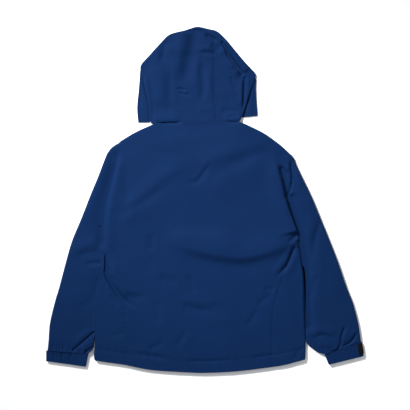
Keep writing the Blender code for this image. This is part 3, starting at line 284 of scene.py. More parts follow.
def patch(low, high, left, right, u, v):
    """The places (x, y) between four edges: low and high run over u, left and right over v."""
    u, v = u[None, :, None], v[:, None, None]
    corners = blend(blend(low[0], low[-1], u), blend(high[0], high[-1], u), v)
    return blend(low[None], high[None], v) + blend(left[:, None], right[:, None], u) - corners


def undulation(x, y, size, seed):
    """A smooth uneven surface between -1 and 1, with its rises and hollows about one size apart."""
    lattice = np.random.default_rng(seed).uniform(-1.0, 1.0, (LATTICE, LATTICE))
    gx, gy = x / size + LATTICE / 2, y / size + LATTICE / 2
    i, j = np.floor(gx).astype(int) % (LATTICE - 1), np.floor(gy).astype(int) % (LATTICE - 1)
    tx, ty = ease(gx - np.floor(gx)), ease(gy - np.floor(gy))
    low = blend(lattice[i, j], lattice[i + 1, j], tx)
    high = blend(lattice[i, j + 1], lattice[i + 1, j + 1], tx)
    return blend(low, high, ty)


def relief(folds, x, y):
    """The height in metres that a table of folds gives to the places (x, y)."""
    total = np.zeros(x.shape)
    for number, row in enumerate(folds):
        fold = {**PLAIN_FOLD, **dict(zip(FOLD_COLUMNS, row))}
        line = walk(fold["line"], spread(0.0, 1.0, 30))
        lengths = length_along(line)
        room = FOLD_ROOM * max(fold["left"], fold["right"])
        least, most = line.min(0) - room, line.max(0) + room
        near = (x > least[0]) & (x < most[0]) & (y > least[1]) & (y < most[1])
        px, py = x[near], y[near]
        best, along = np.full(px.shape, np.inf), np.zeros(px.shape)
        is_left = np.zeros(px.shape, bool)
        for k, (a, b) in enumerate(zip(line, line[1:])):
            d = b - a
            t = np.clip(((px - a[0]) * d[0] + (py - a[1]) * d[1]) / (d @ d), 0.0, 1.0)
            away = np.hypot(px - a[0] - t * d[0], py - a[1] - t * d[1])
            closer = away < best
            best[closer] = away[closer]
            along[closer] = blend(lengths[k], lengths[k + 1], t)[closer]
            is_left[closer] = (d[0] * (py - a[1]) - d[1] * (px - a[0]) > 0)[closer]
        share, ends = along / lengths[-1], 1.0
        for fade, from_end in ((fold["fade_in"], share), (fold["fade_out"], 1.0 - share)):
            if fade:
                ends = ends * ease(from_end / fade)
        if fold["pucker"]:
            turn = along / fold["pucker"]
            ends = ends * (0.5 + 0.5 * np.sin(2 * math.pi * (turn + 0.35 * np.sin(turn * 1.7 + number))))
        reach = np.where(is_left, fold["left"], fold["right"])
        total[near] += fold["height"] * MM * ends * swell(best, 0.0, reach)
    return total


def at_height(places, height):
    """Places (x, y) in centimetres with heights in metres, as points in metres."""
    return np.concatenate([places * CM, np.broadcast_to(height, places.shape[:-1])[..., None]], -1)


def level(x, y):
    return 0.0


class Layers:
    """The heights of a part of the jacket that lies flat in two layers of cloth.

    What gives points gives them as two skins: the cloth's outside, then its inside."""

    def __init__(self, cloth, slack, folds, under_folds=(), base=0.0, sink=level, turned=level, seed=1):
        self.cloth, self.slack, self.folds, self.under_folds = cloth, slack, folds, under_folds
        self.base, self.sink, self.turned, self.seed = base, sink, turned, seed

    def top(self, x, y):
        """Outside and inside height of the upper layer."""
        rise = relief(self.folds, x, y)
        for k, (size, height) in enumerate(UNEVEN_PADDING):
            rise = rise + height * undulation(x, y, size, self.seed + k)
        sag = SAG * self.slack
        rise = np.maximum(rise, -(1.0 - THINNEST_CLOTH) * self.cloth - sag)
        inside = self.base + self.cloth + self.slack - self.sink(x, y)
        return inside + self.cloth + rise, inside + np.clip(rise, -sag, HIGHEST_LINING)

    def upper(self, at):
        x, y = at[..., 0], at[..., 1]
        outside, inside = self.top(x, y)
        return at_height(at, outside - self.turned(x, y)), at_height(at, inside)

    def lower(self, at):
        x, y = at[..., 0], at[..., 1]
        size, height = UNEVEN_UNDERSIDE
        dent = np.clip(relief(self.under_folds, x, y), 0.0, 0.5 * self.cloth)
        dent = dent + height * (1.0 + undulation(x, y, size, self.seed + 2)) + self.turned(x, y)
        return at_height(at, self.base + dent), at_height(at, self.base + self.cloth)

    def inset(self, edge, direction, tight=1.0):
        """Where the round of a folded edge starts."""
        return np.array(edge) - np.array(direction) * (self.cloth + self.slack / 2) * tight / CM

    def bend(self, edge, direction, angle, shift=0.0, tight=1.0):
        """A line of the fold along an edge: 90 degrees is its upper end, -90 its lower end."""
        centre = self.inset(edge, direction, tight)
        tops, bottoms = self.top(centre[..., 0], centre[..., 1]), self.lower(centre)
        across, up = math.cos(math.radians(angle)), math.sin(math.radians(angle))
        skins = []
        for reach, high, low in zip((self.cloth + self.slack / 2, self.slack / 2), tops, bottoms):
            z = blend(low[..., 2], high, (1 + up) / 2) + shift * across
            skins.append(at_height(centre + direction * (reach * tight / CM * across), z))
        return skins

    def tube(self, over, under, outer, out, inner, back_in, steps, tight=1.0):
        """A tube lying flat, from its upper and lower layers and the folds along its two edges."""
        outer_fold = [self.bend(outer, out, angle) for angle in spread(-90, 90, steps)]
        inner_fold = [self.bend(inner, back_in, angle, tight=tight) for angle in spread(90, -90, steps)]
        return [np.concatenate([np.stack([line[k] for line in outer_fold], 1), over[k],
                                np.stack([line[k] for line in inner_fold], 1), under[k]], 1) for k in (0, 1)]


def add_lines(skins, lines, axis):
    """Adds lines of points to both skins, as rows (0) or columns (1)."""
    return [np.concatenate([skin, np.stack(more, axis)], axis) for skin, more in zip(skins, zip(*lines))]


def lean(lining, row, column, shift):
    """Slants a seam's edge, so that the panels' allowances lap under it: the shift is in millimetres."""
    lining[row, column, :2] += np.array(shift) * MM


def put_in_scene(name, data):
    thing = bpy.data.objects.new(name, data)
    bpy.context.scene.collection.objects.link(thing)
    return thing


def new_piece(name, points, faces):
    mesh = bpy.data.meshes.new(name)
    mesh.from_pydata(points, [], faces)
    return put_in_scene(name, mesh)


def set_grain(mesh, grain):
    """The cloth's own grain: distances along its threads, in metres, for each point."""
    corner = np.zeros(len(mesh.loops), np.int32)
    mesh.loops.foreach_get("vertex_index", corner)
    mesh.uv_layers.new(name="grain").data.foreach_set("uv", grain[corner].astype(np.float32).ravel())


def sew(name, skin, lining, used=None, closed=False, rounding=0.08 * MM):
    """A panel as a closed shell between two grids of points, with its free edges rounded."""
    rows, columns = skin.shape[:2]
    if used is None:
        used = np.ones((rows - 1, columns if closed else columns - 1), bool)
    i, j = np.nonzero(used)
    n = (j + 1) % columns
    ring = np.stack([i * columns + j, i * columns + n, (i + 1) * columns + n, (i + 1) * columns + j], 1)
    wanted, ring = np.unique(ring, return_inverse=True)
    ring = ring.reshape(-1, 4)
    outer, inner = skin.reshape(-1, 3)[wanted], lining.reshape(-1, 3)[wanted]
    count = len(wanted)
    edges = ring[:, [0, 1, 1, 2, 2, 3, 3, 0]].reshape(-1, 2)
    free = edges[~np.isin(edges[:, 0] * count + edges[:, 1], edges[:, 1] * count + edges[:, 0])]
    a, b = free.T
    corner, beside_it, _, above_it = outer[ring[0]]
    facing = np.sign(np.cross(beside_it - corner, above_it - corner) @ (corner - inner[ring[0, 0]]))
    push = np.cross(outer[b] - outer[a], (outer - inner)[a]) * facing
    push /= np.linalg.norm(push, axis=1)[:, None] + 1e-12
    out = np.zeros_like(outer)
    np.add.at(out, a, push)
    np.add.at(out, b, push)
    border = np.unique(free)
    out[border] /= np.linalg.norm(out[border], axis=1)[:, None] + 1e-12
    middle = (outer[border] + inner[border]) / 2
    for side in (outer, inner):
        side[border] += (middle - side[border]) * RIM_CLOSING - out[border] * rounding
    rim = np.full(count, -1)
    rim[border] = 2 * count + np.arange(len(border))
    faces = np.vstack([ring, (ring + count)[:, ::-1], np.stack([b, a, rim[a], rim[b]], 1),
                       np.stack([rim[b], rim[a], a + count, b + count], 1)])
    if facing < 0:
        faces = faces[:, ::-1]
    piece = new_piece(name, np.vstack([outer, inner, middle]).tolist(), faces.tolist())
    steps_u = np.linalg.norm(np.diff(skin, axis=1), axis=2)
    steps_v = np.linalg.norm(np.diff(skin, axis=0), axis=2)
    grain_u = np.concatenate([np.zeros((rows, 1)), np.cumsum(steps_u, axis=1)], 1)
    grain_v = np.concatenate([np.zeros((1, columns)), np.cumsum(steps_v, axis=0)], 0)
    grain_u -= grain_u[:, columns // 2:columns // 2 + 1].copy()
    grain = np.stack([grain_u, grain_v], -1).reshape(-1, 2)[wanted]
    set_grain(piece.data, np.vstack([grain, grain, grain[border]]))
    piece.data.shade_smooth()
    piece.data.validate()
    piece.data.set_sharp_from_angle(angle=SHARP_ANGLE)
    return piece


def feed(node, values):
    """Sets a node's inputs, by name or number, to values or to the sockets that lead there."""
    for key, value in values.items():
        if isinstance(value, bpy.types.NodeSocket):
            node.id_data.links.new(value, node.inputs[key])
        else:
            node.inputs[key].default_value = value


def add_node(tree, kind, values, **settings):
    node = tree.nodes.new("ShaderNode" + kind)
    for key, value in settings.items():
        setattr(node, key, value)
    feed(node, values)
    return node


def calc(tree, operation, *values):
    return add_node(tree, "Math", dict(enumerate(values)), operation=operation).outputs[0]


def tint(tree, colour, factor):
    """A colour made lighter or darker by a factor."""
    return add_node(tree, "VectorMath", {0: colour, "Scale": factor}, operation="SCALE").outputs[0]


def new_group(name, inputs, outputs):
    """A shader node group with named sockets: (name, kind, value) going in, (name, kind) coming out."""
    group = bpy.data.node_groups.new(name, "ShaderNodeTree")
    for label, kind, value in inputs:
        socket = group.interface.new_socket(name=label, in_out="INPUT", socket_type="NodeSocket" + kind)
        if value is not None:
            socket.default_value = value
    for label, kind in outputs:
        group.interface.new_socket(name=label, in_out="OUTPUT", socket_type="NodeSocket" + kind)
    return group, group.nodes.new("NodeGroupInput").outputs, group.nodes.new("NodeGroupOutput")


def plain_weave_group():
    """Threads that pass over and under each other, on the cloth's own grain."""
    group, given, made = new_group(
        "plain_weave",
        [("Grain", "Vector", None), ("Colour", "Color", (0.01, 0.03, 0.1, 1.0)),
         ("Threads per metre", "Float", 1700.0), ("Contrast", "Float", 0.1)],
        [("Colour", "Color"), ("Height", "Float")])
    axes = add_node(group, "SeparateXYZ", {0: given["Grain"]}).outputs
    turns = calc(group, "MULTIPLY", given["Threads per metre"], math.pi)
    warp, weft = (calc(group, "SINE", calc(group, "MULTIPLY", axes[axis], turns)) for axis in ("X", "Y"))
    over = calc(group, "MULTIPLY", warp, weft)
    shade = calc(group, "ADD", calc(group, "MULTIPLY", over, given["Contrast"]), 1.0)
    feed(made, {"Colour": tint(group, given["Colour"], shade),
                "Height": calc(group, "MULTIPLY_ADD", over, 0.5, 0.5)})
    return group


def uneven_dye_group():
    """Wide soft patches and fine flecks where the dyed yarn is a little lighter or darker."""
    group, given, made = new_group(
        "uneven_dye",
        [("Place", "Vector", None), ("Colour", "Color", (0.01, 0.03, 0.1, 1.0)), ("Patches", "Float", 0.08),
         ("Flecks", "Float", 0.05)],
        [("Colour", "Color")])
    shade = 1.0
    for size, label in ((9.0, "Patches"), (900.0, "Flecks")):
        noise = add_node(group, "TexNoise", {"Scale": size, "Detail": 2.0, "Vector": given["Place"]})
        uneven = calc(group, "SUBTRACT", noise.outputs["Fac"], 0.5)
        shade = calc(group, "ADD", calc(group, "MULTIPLY", uneven, given[label]), shade)
    feed(made, {"Colour": tint(group, given["Colour"], shade)})
    return group


plain_weave = plain_weave_group()
uneven_dye = uneven_dye_group()


def new_material(name):
    """A material, its nodes, its main shader and the places that it can be laid out by."""
    material = bpy.data.materials.new(name)
    material.use_nodes = True
    tree = material.node_tree
    return material, tree, tree.nodes["Principled BSDF"], tree.nodes.new("ShaderNodeTexCoord").outputs


def woven_cloth(name, colour, threads, contrast, roughness, sheen):
    material, tree, shader, place = new_material(name)
    dye = add_node(tree, "Group", {"Place": place["Object"], "Colour": (*colour, 1.0)}, node_tree=uneven_dye)
    weave = add_node(tree, "Group", {"Grain": place["UV"], "Colour": dye.outputs["Colour"],
                                     "Threads per metre": threads, "Contrast": contrast},
                     node_tree=plain_weave).outputs
    raised = add_node(tree, "Bump", {"Strength": 0.25, "Distance": 0.0002, "Height": weave["Height"]})
    feed(shader, {"Base Color": weave["Colour"], "Normal": raised.outputs["Normal"], "Roughness": roughness,
                  "Specular IOR Level": 0.03, "Sheen Weight": sheen, "Sheen Roughness": 0.3,
                  "Sheen Tint": (0.40, 0.58, 1.0, 1.0)})
    return material


navy_shell = woven_cloth("navy_shell", (0.0026, 0.0147, 0.0586), 1700.0, 0.10, 0.7, 0.13)
navy_thread = woven_cloth("navy_thread", (0.0022, 0.0120, 0.049), 4000.0, 0.20, 0.6, 0.05)


def dress(piece, material, slot, *nodes):
    """Gives a piece its material, and lets it stand for its CAD nodes."""
    piece.data.materials.append(material)
    if nodes:
        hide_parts(*nodes)
    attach(piece, "jacket")
    return piece


UP = (0.0, 0.0, 1.0)
DOWN = (0.0, 0.0, -1.0)
STITCH_LENGTH = 2.6 * MM
STITCH_PITCH = 3.4 * MM
STITCH_WIDTH = 0.55 * MM
# a stitch's points, as shares of its length, half its width and its height
STITCH_POINTS = ((-0.5, 0, 0), (-0.28, 1, 0), (-0.28, 0.6, 1), (-0.28, -0.6, 1), (-0.28, -1, 0),
                 (0.28, 1, 0), (0.28, 0.6, 1), (0.28, -0.6, 1), (0.28, -1, 0), (0.5, 0, 0))
STITCH_FACES = ((0, 2, 1), (0, 3, 2), (0, 4, 3), (1, 2, 6, 5), (2, 3, 7, 6), (3, 4, 8, 7),
                (9, 5, 6), (9, 6, 7), (9, 7, 8), (0, 1, 4), (1, 5, 8, 4), (9, 8, 5))


def lay_on(layer, points, count, lift=0.1 * MM):
    """A line of places just off a layer's skin, in metres."""
    return layer(walk(points, spread(0.0, 1.0, count)))[0] + (0.0, 0.0, lift)


def beside(points, distance, count=60):
    """A line beside another one, to its left by a distance in centimetres."""
    shares = spread(0.0, 1.0, count)
    return tuple(map(tuple, walk(points, shares) + outward(points, shares, 1) * distance))


def stitch_rows(name, rows, height=0.4 * MM):
    """Stitches along lines of points, each with the way up from the cloth, as one thread piece."""
    share, half_width, high = np.array(STITCH_POINTS).T[..., None]
    stitches = []
    for line, up in rows:
        lengths = length_along(line)
        middles = np.arange(STITCH_PITCH, lengths[-1] - STITCH_LENGTH, STITCH_PITCH)
        start, end = (np.column_stack([np.interp(middles + way * STITCH_LENGTH / 2, lengths, line[:, k])
                                       for k in range(3)]) for way in (-1, 1))
        along = end - start
        across = np.cross(along, up)
        across *= STITCH_WIDTH / 2 / np.linalg.norm(across, axis=1)[:, None]
        stitches.append((start + end)[:, None] / 2 + along[:, None] * share + across[:, None] * half_width
                        + np.array(up) * height * high)
    points = np.concatenate(stitches).reshape(-1, 3)
    faces = [[first + k for k in face] for first in range(0, len(points), len(STITCH_POINTS))
             for face in STITCH_FACES]
    thread = new_piece(name, points.tolist(), faces)
    set_grain(thread.data, points[:, :2])
    thread.data.shade_smooth()
    dress(thread, navy_thread, "navy_shell")


def scoop(x):
    """Height (y) of the front neckline."""
    return FRONT_NECK_Y + NECK_DEPTH * np.clip(np.abs(x - NECK_MIDDLE_X) / NECK_HALF, 0.0, 1.0) ** 2.2


def neck_sink(x, y):
    """The back sinks towards the floor inside the front neckline."""
    return NECK_SINK * ease((y - scoop(x) - NECK_SINK_START) / NECK_SINK_LENGTH)


def hem_turn(x, y):
    """The hem's cloth is turned up over itself, so its edge is round."""
    near = np.clip(1.0 - (y - read_off(HEM, x)) / HEM_RADIUS, 0.0, 1.0)
    return HEM_RADIUS * CM * (1.0 - np.sqrt(1.0 - near * near))


BODY = Layers(BODY_WALL, BODY_SLACK, BACK_FOLDS, FRONT_FOLDS, sink=neck_sink, turned=hem_turn, seed=11)
UP_THE_BODY = np.concatenate([[0.0, 0.0003, 0.0009, 0.0018, 0.003], spread(0.0042, UNDERARM_SHARE, 122),
                              spread(UNDERARM_SHARE + 0.0004, 1.0, 100)])
BELOW_ARM = UP_THE_BODY <= UNDERARM_SHARE
UNDERARM_ROW = np.count_nonzero(BELOW_ARM) - 1
TOP_ROW = len(UP_THE_BODY) - 1


def side_line(side, low_rows, armhole):
    """The edge of a body panel from hem to shoulder: up one side, then round the armhole."""
    corner, underarm = BODY.inset(*SHOULDER_POINTS[side]), UNDERARM_Y[side]
    hem = read_off(HEM, min(low_rows)[1])
    share = UP_THE_BODY / UNDERARM_SHARE
    y = np.where(BELOW_ARM, blend(hem, underarm, share), blend(underarm, corner[1], share - 1))
    x = np.where(BELOW_ARM, read_off(low_rows, y), read_off(armhole + ((corner[1], corner[0]),), y))
    return np.column_stack([x, y])


SHOULDER_TURN = 2               # centimetres over which the shoulder's edge turns to its corner


def shoulder_edge(side, x):
    """The shoulder's edge at distances x, and the directions out of it."""
    rows, (corner, out_of_corner) = SHOULDER[side], SHOULDER_POINTS[side]
    out = unit(np.column_stack([read_off(rows, x - 0.3) - read_off(rows, x + 0.3), np.full(len(x), 0.6)]))
    near = ease(1.0 - (corner[0] - x) * side / SHOULDER_TURN)[:, None]
    edge = np.column_stack([x, read_off(rows, x)])
    edge[(x - corner[0]) * side > -0.05] = corner
    return edge, unit(blend(out, np.array(out_of_corner), near))


def over_shoulder(skins, first, moved, edge, out, way):
    """Carries a panel on round the shoulder to its seam: down from the back (1), up from a front (-1)."""
    rows = []
    for angle in spread(75, 0, 5):
        row = np.array([skin[-1] for skin in skins])
        line = np.array(BODY.bend(edge, out, way * angle, way * SEAM_GAP * CM / 2))
        row[:, first:][:, moved] = line[:, moved]
        rows.append(row)
    return add_lines(skins, rows, 0)


def back_panel():
    left, right = (side_line(side, SIDE_SEAM[side], ARMHOLE[side]) - (side * SEAM_GAP / 2, 0.0)
                   for side in SIDES)
    x = stops((left[-1, 0], NECK_ENDS[-1], NECK_ENDS[1], right[-1, 0]), PANEL_PITCH)
    u = (x - x[0]) / (x[-1] - x[0])
    low_x = blend(left[0, 0], right[0, 0], u)
    hem = np.column_stack([low_x, read_off(HEM, low_x)])
    over_neck = (x > NECK_ENDS[-1] + 1e-6) & (x < NECK_ENDS[1] - 1e-6)
    edge, out = np.where((u < 0.5)[:, None], *[shoulder_edge(side, x) for side in SIDES])
    for end, side in ((0, -1), (-1, 1)):
        edge[end], out[end] = SHOULDER_POINTS[side]
    neck = np.column_stack([x, read_off(NECK_SEAM, x) - SEAM_GAP])
    top = np.where(over_neck[:, None], neck, BODY.inset(edge, out))
    top[0], top[-1] = left[-1], right[-1]
    skins = BODY.upper(patch(hem, top, left, right, u, UP_THE_BODY))
    lean(skins[1], slice(None), 0, (-SEAM_LAP, 0.0))
    lean(skins[1], slice(None), -1, (SEAM_LAP, 0.0))
    lean(skins[1], -1, over_neck, (0.0, SEAM_LAP))
    skins = over_shoulder(skins, 0, ~over_neck, edge, out, 1)
    used = np.ones((len(skins[0]) - 1, len(x) - 1), bool)
    used[TOP_ROW:] = ~(over_neck[:-1] & over_neck[1:])
    return sew("back_panel", *skins, used)


back = dress(back_panel(), navy_shell, "navy_shell", "back")
hem_inside = ((HEM_SEAM_X[-1], -43.2),) + HEM_STITCH[2:-2] + ((HEM_SEAM_X[1], -43.5),)
seam_lines = {side: tuple((x, y) for y, x in reversed(SIDE_SEAM[side])) for side in SIDES}
back_rows = [hem_inside, beside(hem_inside, -0.5), beside(seam_lines[-1], 0.45), beside(seam_lines[1], -0.45),
             ((-14, 20.9), (-8.3, 21.3), (-2.5, 21.25), (6.3, 21.5), (9.2, 21.4))]
stitch_rows("back_stitching", [(lay_on(BODY.upper, row, 400), UP) for row in back_rows])


# ======== Front panels ===================================================================================
# Two fronts of the same padded cloth lie on the floor, with the zip between them. Each wraps round its side
# of the body and is sewn to the back there, at the shoulder and round the armhole.
ZIP_X = -2
ZIP_CHANNEL = 0.34
FRONT_PITCH = 0.5
FRONT_HEM_RISE = 0.1
SIDE_FOLD = {-1: 0.34, 1: 0.95}          # how round the side folds are: 1 is a half circle


def front_panel(side):
    centre, tight = ZIP_X + side * ZIP_CHANNEL, SIDE_FOLD[side]
    direction = np.array([float(side), 0.0])
    edge = side_line(side, OUTER_SIDE[side], UNDER_ARMHOLE[side])
    under = np.where(BELOW_ARM[:, None], BODY.inset(edge, direction, tight),
                     edge - (side * SEAM_GAP / 2, 0.0))
    x = stops((under[-1, 0], NECK_ENDS[side], centre), FRONT_PITCH)
    u = (x - x[0]) / (centre - x[0])
    low_x = blend(under[0, 0], centre, u)
    hem = np.column_stack([low_x, read_off(HEM, low_x) + FRONT_HEM_RISE])
    shoulder, out = shoulder_edge(side, x)
    shoulder[0], out[0] = SHOULDER_POINTS[side]
    past_neck = (x - NECK_ENDS[side]) * side < -1e-6
    top = np.where(past_neck[:, None], np.column_stack([x, scoop(x)]), BODY.inset(shoulder, out))
    top[0] = under[-1]
    centre_edge = np.column_stack([np.full(len(UP_THE_BODY), centre),
                                   blend(hem[-1, 1], scoop(centre), UP_THE_BODY)])
    skins_under = BODY.lower(patch(hem, top, under, centre_edge, u, UP_THE_BODY))
    # round the side and over to the seam, up to the underarm
    held = np.minimum(np.arange(len(UP_THE_BODY)), UNDERARM_ROW)
    seam = side_line(side, SIDE_SEAM[side], UNDER_ARMHOLE[side])[held] + (side * SEAM_GAP / 2, 0.0)
    fold_start = BODY.inset(edge[held], direction, tight)
    over = blend(seam[:, None], fold_start[:, None], spread(0.0, 1.0, 24)[:-1, None])
    lift = ease(UP_THE_BODY[held] / UNDERARM_SHARE)[:, None]
    over[..., 1] += (read_off(HEM, over[..., 0]) - over[:1, :, 1]) * (1 - lift)
    skins = BODY.upper(over)
    lean(skins[1], slice(None), 0, (side * SEAM_LAP, 0.0))
    skins = add_lines(skins, [BODY.bend(edge[held], direction, angle, tight=tight)
                              for angle in spread(90, -90, FOLD_STEPS)[:-1]], 1)
    wrapped = skins[0].shape[1]
    skins = [np.concatenate(pair, 1) for pair in zip(skins, skins_under)]
    skins = over_shoulder(skins, wrapped, ~past_neck, shoulder, out, -1)
    used = np.ones((len(skins[0]) - 1, skins[0].shape[1] - 1), bool)
    used[UNDERARM_ROW:, :wrapped] = False
    used[TOP_ROW:, wrapped:] = ~(past_neck[:-1] & past_neck[1:])
    return sew("front_panel_" + SIDES[side], *skins, used)


for side, name in SIDES.items():
    front = dress(front_panel(side), navy_shell, "navy_shell", "front_" + name)
    centre_x = ZIP_X + side * 0.95
    hem_part = tuple(p for p in HEM_STITCH if (p[0] - centre_x) * side > 0.5)[::side]
    hem_part = ((centre_x, float(read_off(HEM_STITCH, centre_x))),) + hem_part
    round_side = tuple(p for p in HEM_STITCH if (p[0] - HEM_SEAM_X[side]) * side >= -0.1)
    stitch_rows("front_stitching_" + name, [
        (lay_on(BODY.lower, ((centre_x, -46.5), (centre_x, 13.2)), 300, -0.1 * MM), DOWN),
        (lay_on(BODY.lower, hem_part[:-1], 300, -0.1 * MM), DOWN),
        (lay_on(BODY.upper, round_side, 400), UP),
    ])


# ======== Sleeves ========================================================================================
# Each sleeve is one tube of the padded cloth with its seam underneath. It lies flat, slung a little lower
# than the body beside it, and its lower end is drawn in to the cuff, which throws short sharp creases.
SLEEVE_OUTER = {
    -1: ((-24.31, 15.89), (-26.1, 14.7), (-27.4, 13.1), (-28.4, 10.7), (-30, 6.5), (-32.3, 0.9),
         (-34.7, -5.2), (-37.2, -11.2), (-38.9, -16.9), (-40.9, -24.5), (-42, -28.2), (-43.5, -34.5),
         (-43.9, -39.4), (-44.2, -42.3)),
    1: ((23.91, 12.79), (24.8, 11.9), (25.8, 9.4), (27.2, 6.4), (29.8, 1), (32.9, -6.4), (34.8, -11.1),
        (37.1, -17), (39.7, -24.5), (41.5, -29.1), (43, -34.9), (43.7, -39.6)),
}
SLEEVE_TO_BODY = {-1: -0.16, 1: -0.04}          # both lie against the body, the left one pressed to it
SLEEVE_INNER_ENDS = {-1: ((-28.62, -14.15), (-31.15, -40.2), (-31.5, -42), (-32.7, -43.1)),
                     1: ((26.05, -11.35), (28.5, -40.2), (30.1, -41.7), (31.8, -42.9), (33.5, -43.4))}
SLEEVE_BESIDE_BODY = (-15.5, -17.5, -19.5, -21.5, -23.5, -26, -28.5, -31, -34, -37.5)
# each edge of the cuffs, from the sleeve to the cuff's end
CUFF_EDGES = {
    -1: {"outer": ((-44.57, -42.33), (-44.6, -45.3)), "inner": ((-32.7, -43.13), (-33.4, -46.8))},
    1: {"outer": ((43.8, -39.63), (44.5, -43.8)), "inner": ((33.5, -43.43), (34.7, -46.3))},
}
SLEEVE_FOLDS = (
    # left: the sleeve head sits lower than the body, and the cloth falls in soft folds over the elbow
    LEFT_VALLEY,
    (((-26.6, 12.6), (-28.4, 8), (-30.6, 2.4), (-32.6, -3.4), (-34.4, -9)), 1.6, 1.8, 2.4, 0.15, 0.3),
    (((-29.6, -7.2), (-29.2, -8.3), (-28.7, -8.7)), 0.45, 0.45, -1.9, 0.2, 0.1),
    (((-38, -16.4), (-36.3, -14), (-32.9, -12.6), (-29.2, -11.8)), 1.8, 1.5, 2.4, 0.25, 0.2),
    (((-36.3, -15.9), (-32.9, -14.9), (-29.2, -14.2)), 0.8, 1.3, -1.4, 0.25, 0.2),
    (((-34, -18), (-30.9, -17.8), (-28.9, -17.6)), 0.6, 0.7, -2, 0.35, 0.1),
    (((-34, -19.6), (-30.9, -19.2), (-28.9, -19)), 1.1, 1.4, 0.6, 0.35, 0.1),
    (((-29.8, -21.4), (-30.6, -25), (-31.2, -29)), 1, 1.4, -1.2, 0.2, 0.4),
    (((-35.8, -30), (-33.4, -29.3), (-31.4, -27.6)), 1.2, 1.4, -1.3, 0.3, 0.2),
    (((-38.6, -24), (-37.4, -30), (-38.2, -37)), 3, 3, 1.8),
    (((-30.8, -36.9), (-33.5, -39.2), (-35.7, -41.1), (-37.6, -42.7)), 0.30, 0.30, -4.2, 0.02, 0.12),
    (((-31.6, -36), (-34.4, -38.2), (-36.9, -40.3)), 0.9, 0.7, 1.5, 0.15, 0.3),
    (((-31.2, -39.4), (-33.2, -40.8), (-35.2, -42.4)), 0.7, 0.7, 1.5, 0.1, 0.2),
    (((-31, -41), (-32.6, -42.1), (-34, -43.2)), 0.28, 0.28, -4, 0.02, 0.2),
    (((-44.2, -41), (-40, -41.6), (-36, -42.2), (-33, -42.6)), 1.1, 0.9, -1.6, 0, 0, 1.15),
    (((-29.3, -15), (-29, -20), (-30.1, -25), (-31.2, -31), (-31.6, -38)), 1.2, 1.4, -1.3, 0, 0.1),
    # right: a long soft fold down the arm
    RIGHT_ARMHOLE_DIP,
    (((24.3, 11.9), (24.8, 8), (25, 4.6), (24.2, 2)), 1.3, 0.8, -1.6, 0.1, 0.1),
    (((23.4, 1.8), (23.8, -0.6), (24.8, -4.4), (26.1, -8.4), (26.9, -11.4), (27.7, -15), (28.3, -21),
      (28.5, -30), (28.9, -38)), 1.5, 1.2, -8, 0.03, 0.08),
    (((25.8, 9.8), (26, 6.4), (26.8, 3)), 1, 0.8, 1.6),
    (((26.4, 1.4), (28.7, -1.2), (29.8, -6.6), (29.4, -12)), 1.5, 1.6, 2.3),
    (((33.6, -4.6), (31.7, -7.6), (30.4, -12.5), (30.2, -18.4)), 0.9, 0.8, -2, 0.2, 0.3),
    (((31, -20.9), (30.8, -22.4), (29.7, -27.9)), 0.8, 0.9, -1.6, 0.25, 0.3),
    (((32.3, -9), (32.5, -17), (32.9, -25)), 1.6, 1.9, 1.3),
    (((36.6, -14), (36.2, -22), (37.4, -31)), 2.6, 2.6, 2),
    (((39.3, -35.3), (38.3, -38), (37.8, -41), (36.4, -42.4), (34.4, -42.4)), 0.30, 0.32, -4.2, 0.12, 0.2),
    (((40.2, -35.9), (39.2, -38.6), (38.6, -40.6)), 0.7, 0.6, 1.3, 0.2, 0.2),
    (((42.7, -37), (40.9, -39.8), (38, -41.5)), 0.35, 0.35, -3.4, 0.15, 0.1),
    (((42.2, -36.2), (40.2, -38.7), (38.6, -40.2)), 0.6, 0.7, 1, 0.2, 0.2),
    (((29.9, -38.9), (33, -38), (36.6, -39.1)), 0.6, 0.6, -2.2, 0.25, 0.25),
    (((29.9, -37.4), (33.2, -36.5), (37, -37.6)), 1.2, 0.9, 1.7, 0.25, 0.25),
    (((31, -40.6), (33.6, -40.6), (36, -41.2)), 0.8, 0.8, 1.2, 0.25, 0.25),
    (((33.4, -42), (37.4, -41), (42.6, -38.8)), 0.9, 0.6, -1.2, 0, 0, 1.6),
)
SLEEVE_UNDER_FOLDS = (
    (((-36, -12), (-32, -14), (-29, -15)), 1.2, 1.2, 2.1),
    (((-41, -27), (-36, -28), (-32, -26)), 1.2, 1.2, 1.8),
    (((-40, -41), (-37, -36), (-33, -33)), 0.9, 0.9, 2.2),
    (((-33, -3), (-31, 2), (-28, 8)), 1.2, 1.2, 1.6),
    (((34, -12), (31, -14), (27, -13.6)), 1.2, 1.2, 2.1),
    (((39, -26), (34, -28.5), (29, -27)), 1.2, 1.2, 1.8),
    (((40, -39), (36, -36), (31, -35.5)), 0.9, 0.9, 2.2),
    (((31, -3), (28.5, 1.5), (26, 6)), 1.2, 1.2, 1.6),
)
SLEEVES = Layers(BODY_WALL, BODY_SLACK, SLEEVE_FOLDS, SLEEVE_UNDER_FOLDS, seed=23)
DOWN_THE_SLEEVE = spread(0.0, 1.0, 260)


def sleeve_inner(side):
    """The sleeve's inner edge: it lies against the body's side, then turns out to the cuff."""
    beside_body = tuple((float(read_off(OUTER_SIDE[side], y)) + side * SLEEVE_TO_BODY[side], y)
                        for y in SLEEVE_BESIDE_BODY)
    return SLEEVE_INNER_ENDS[side][:1] + beside_body + SLEEVE_INNER_ENDS[side][1:]


def across_cuff(side):
    """The direction over the cuff, from its inner to its outer edge."""
    return unit(np.subtract(CUFF_EDGES[side]["outer"][0], CUFF_EDGES[side]["inner"][0]))


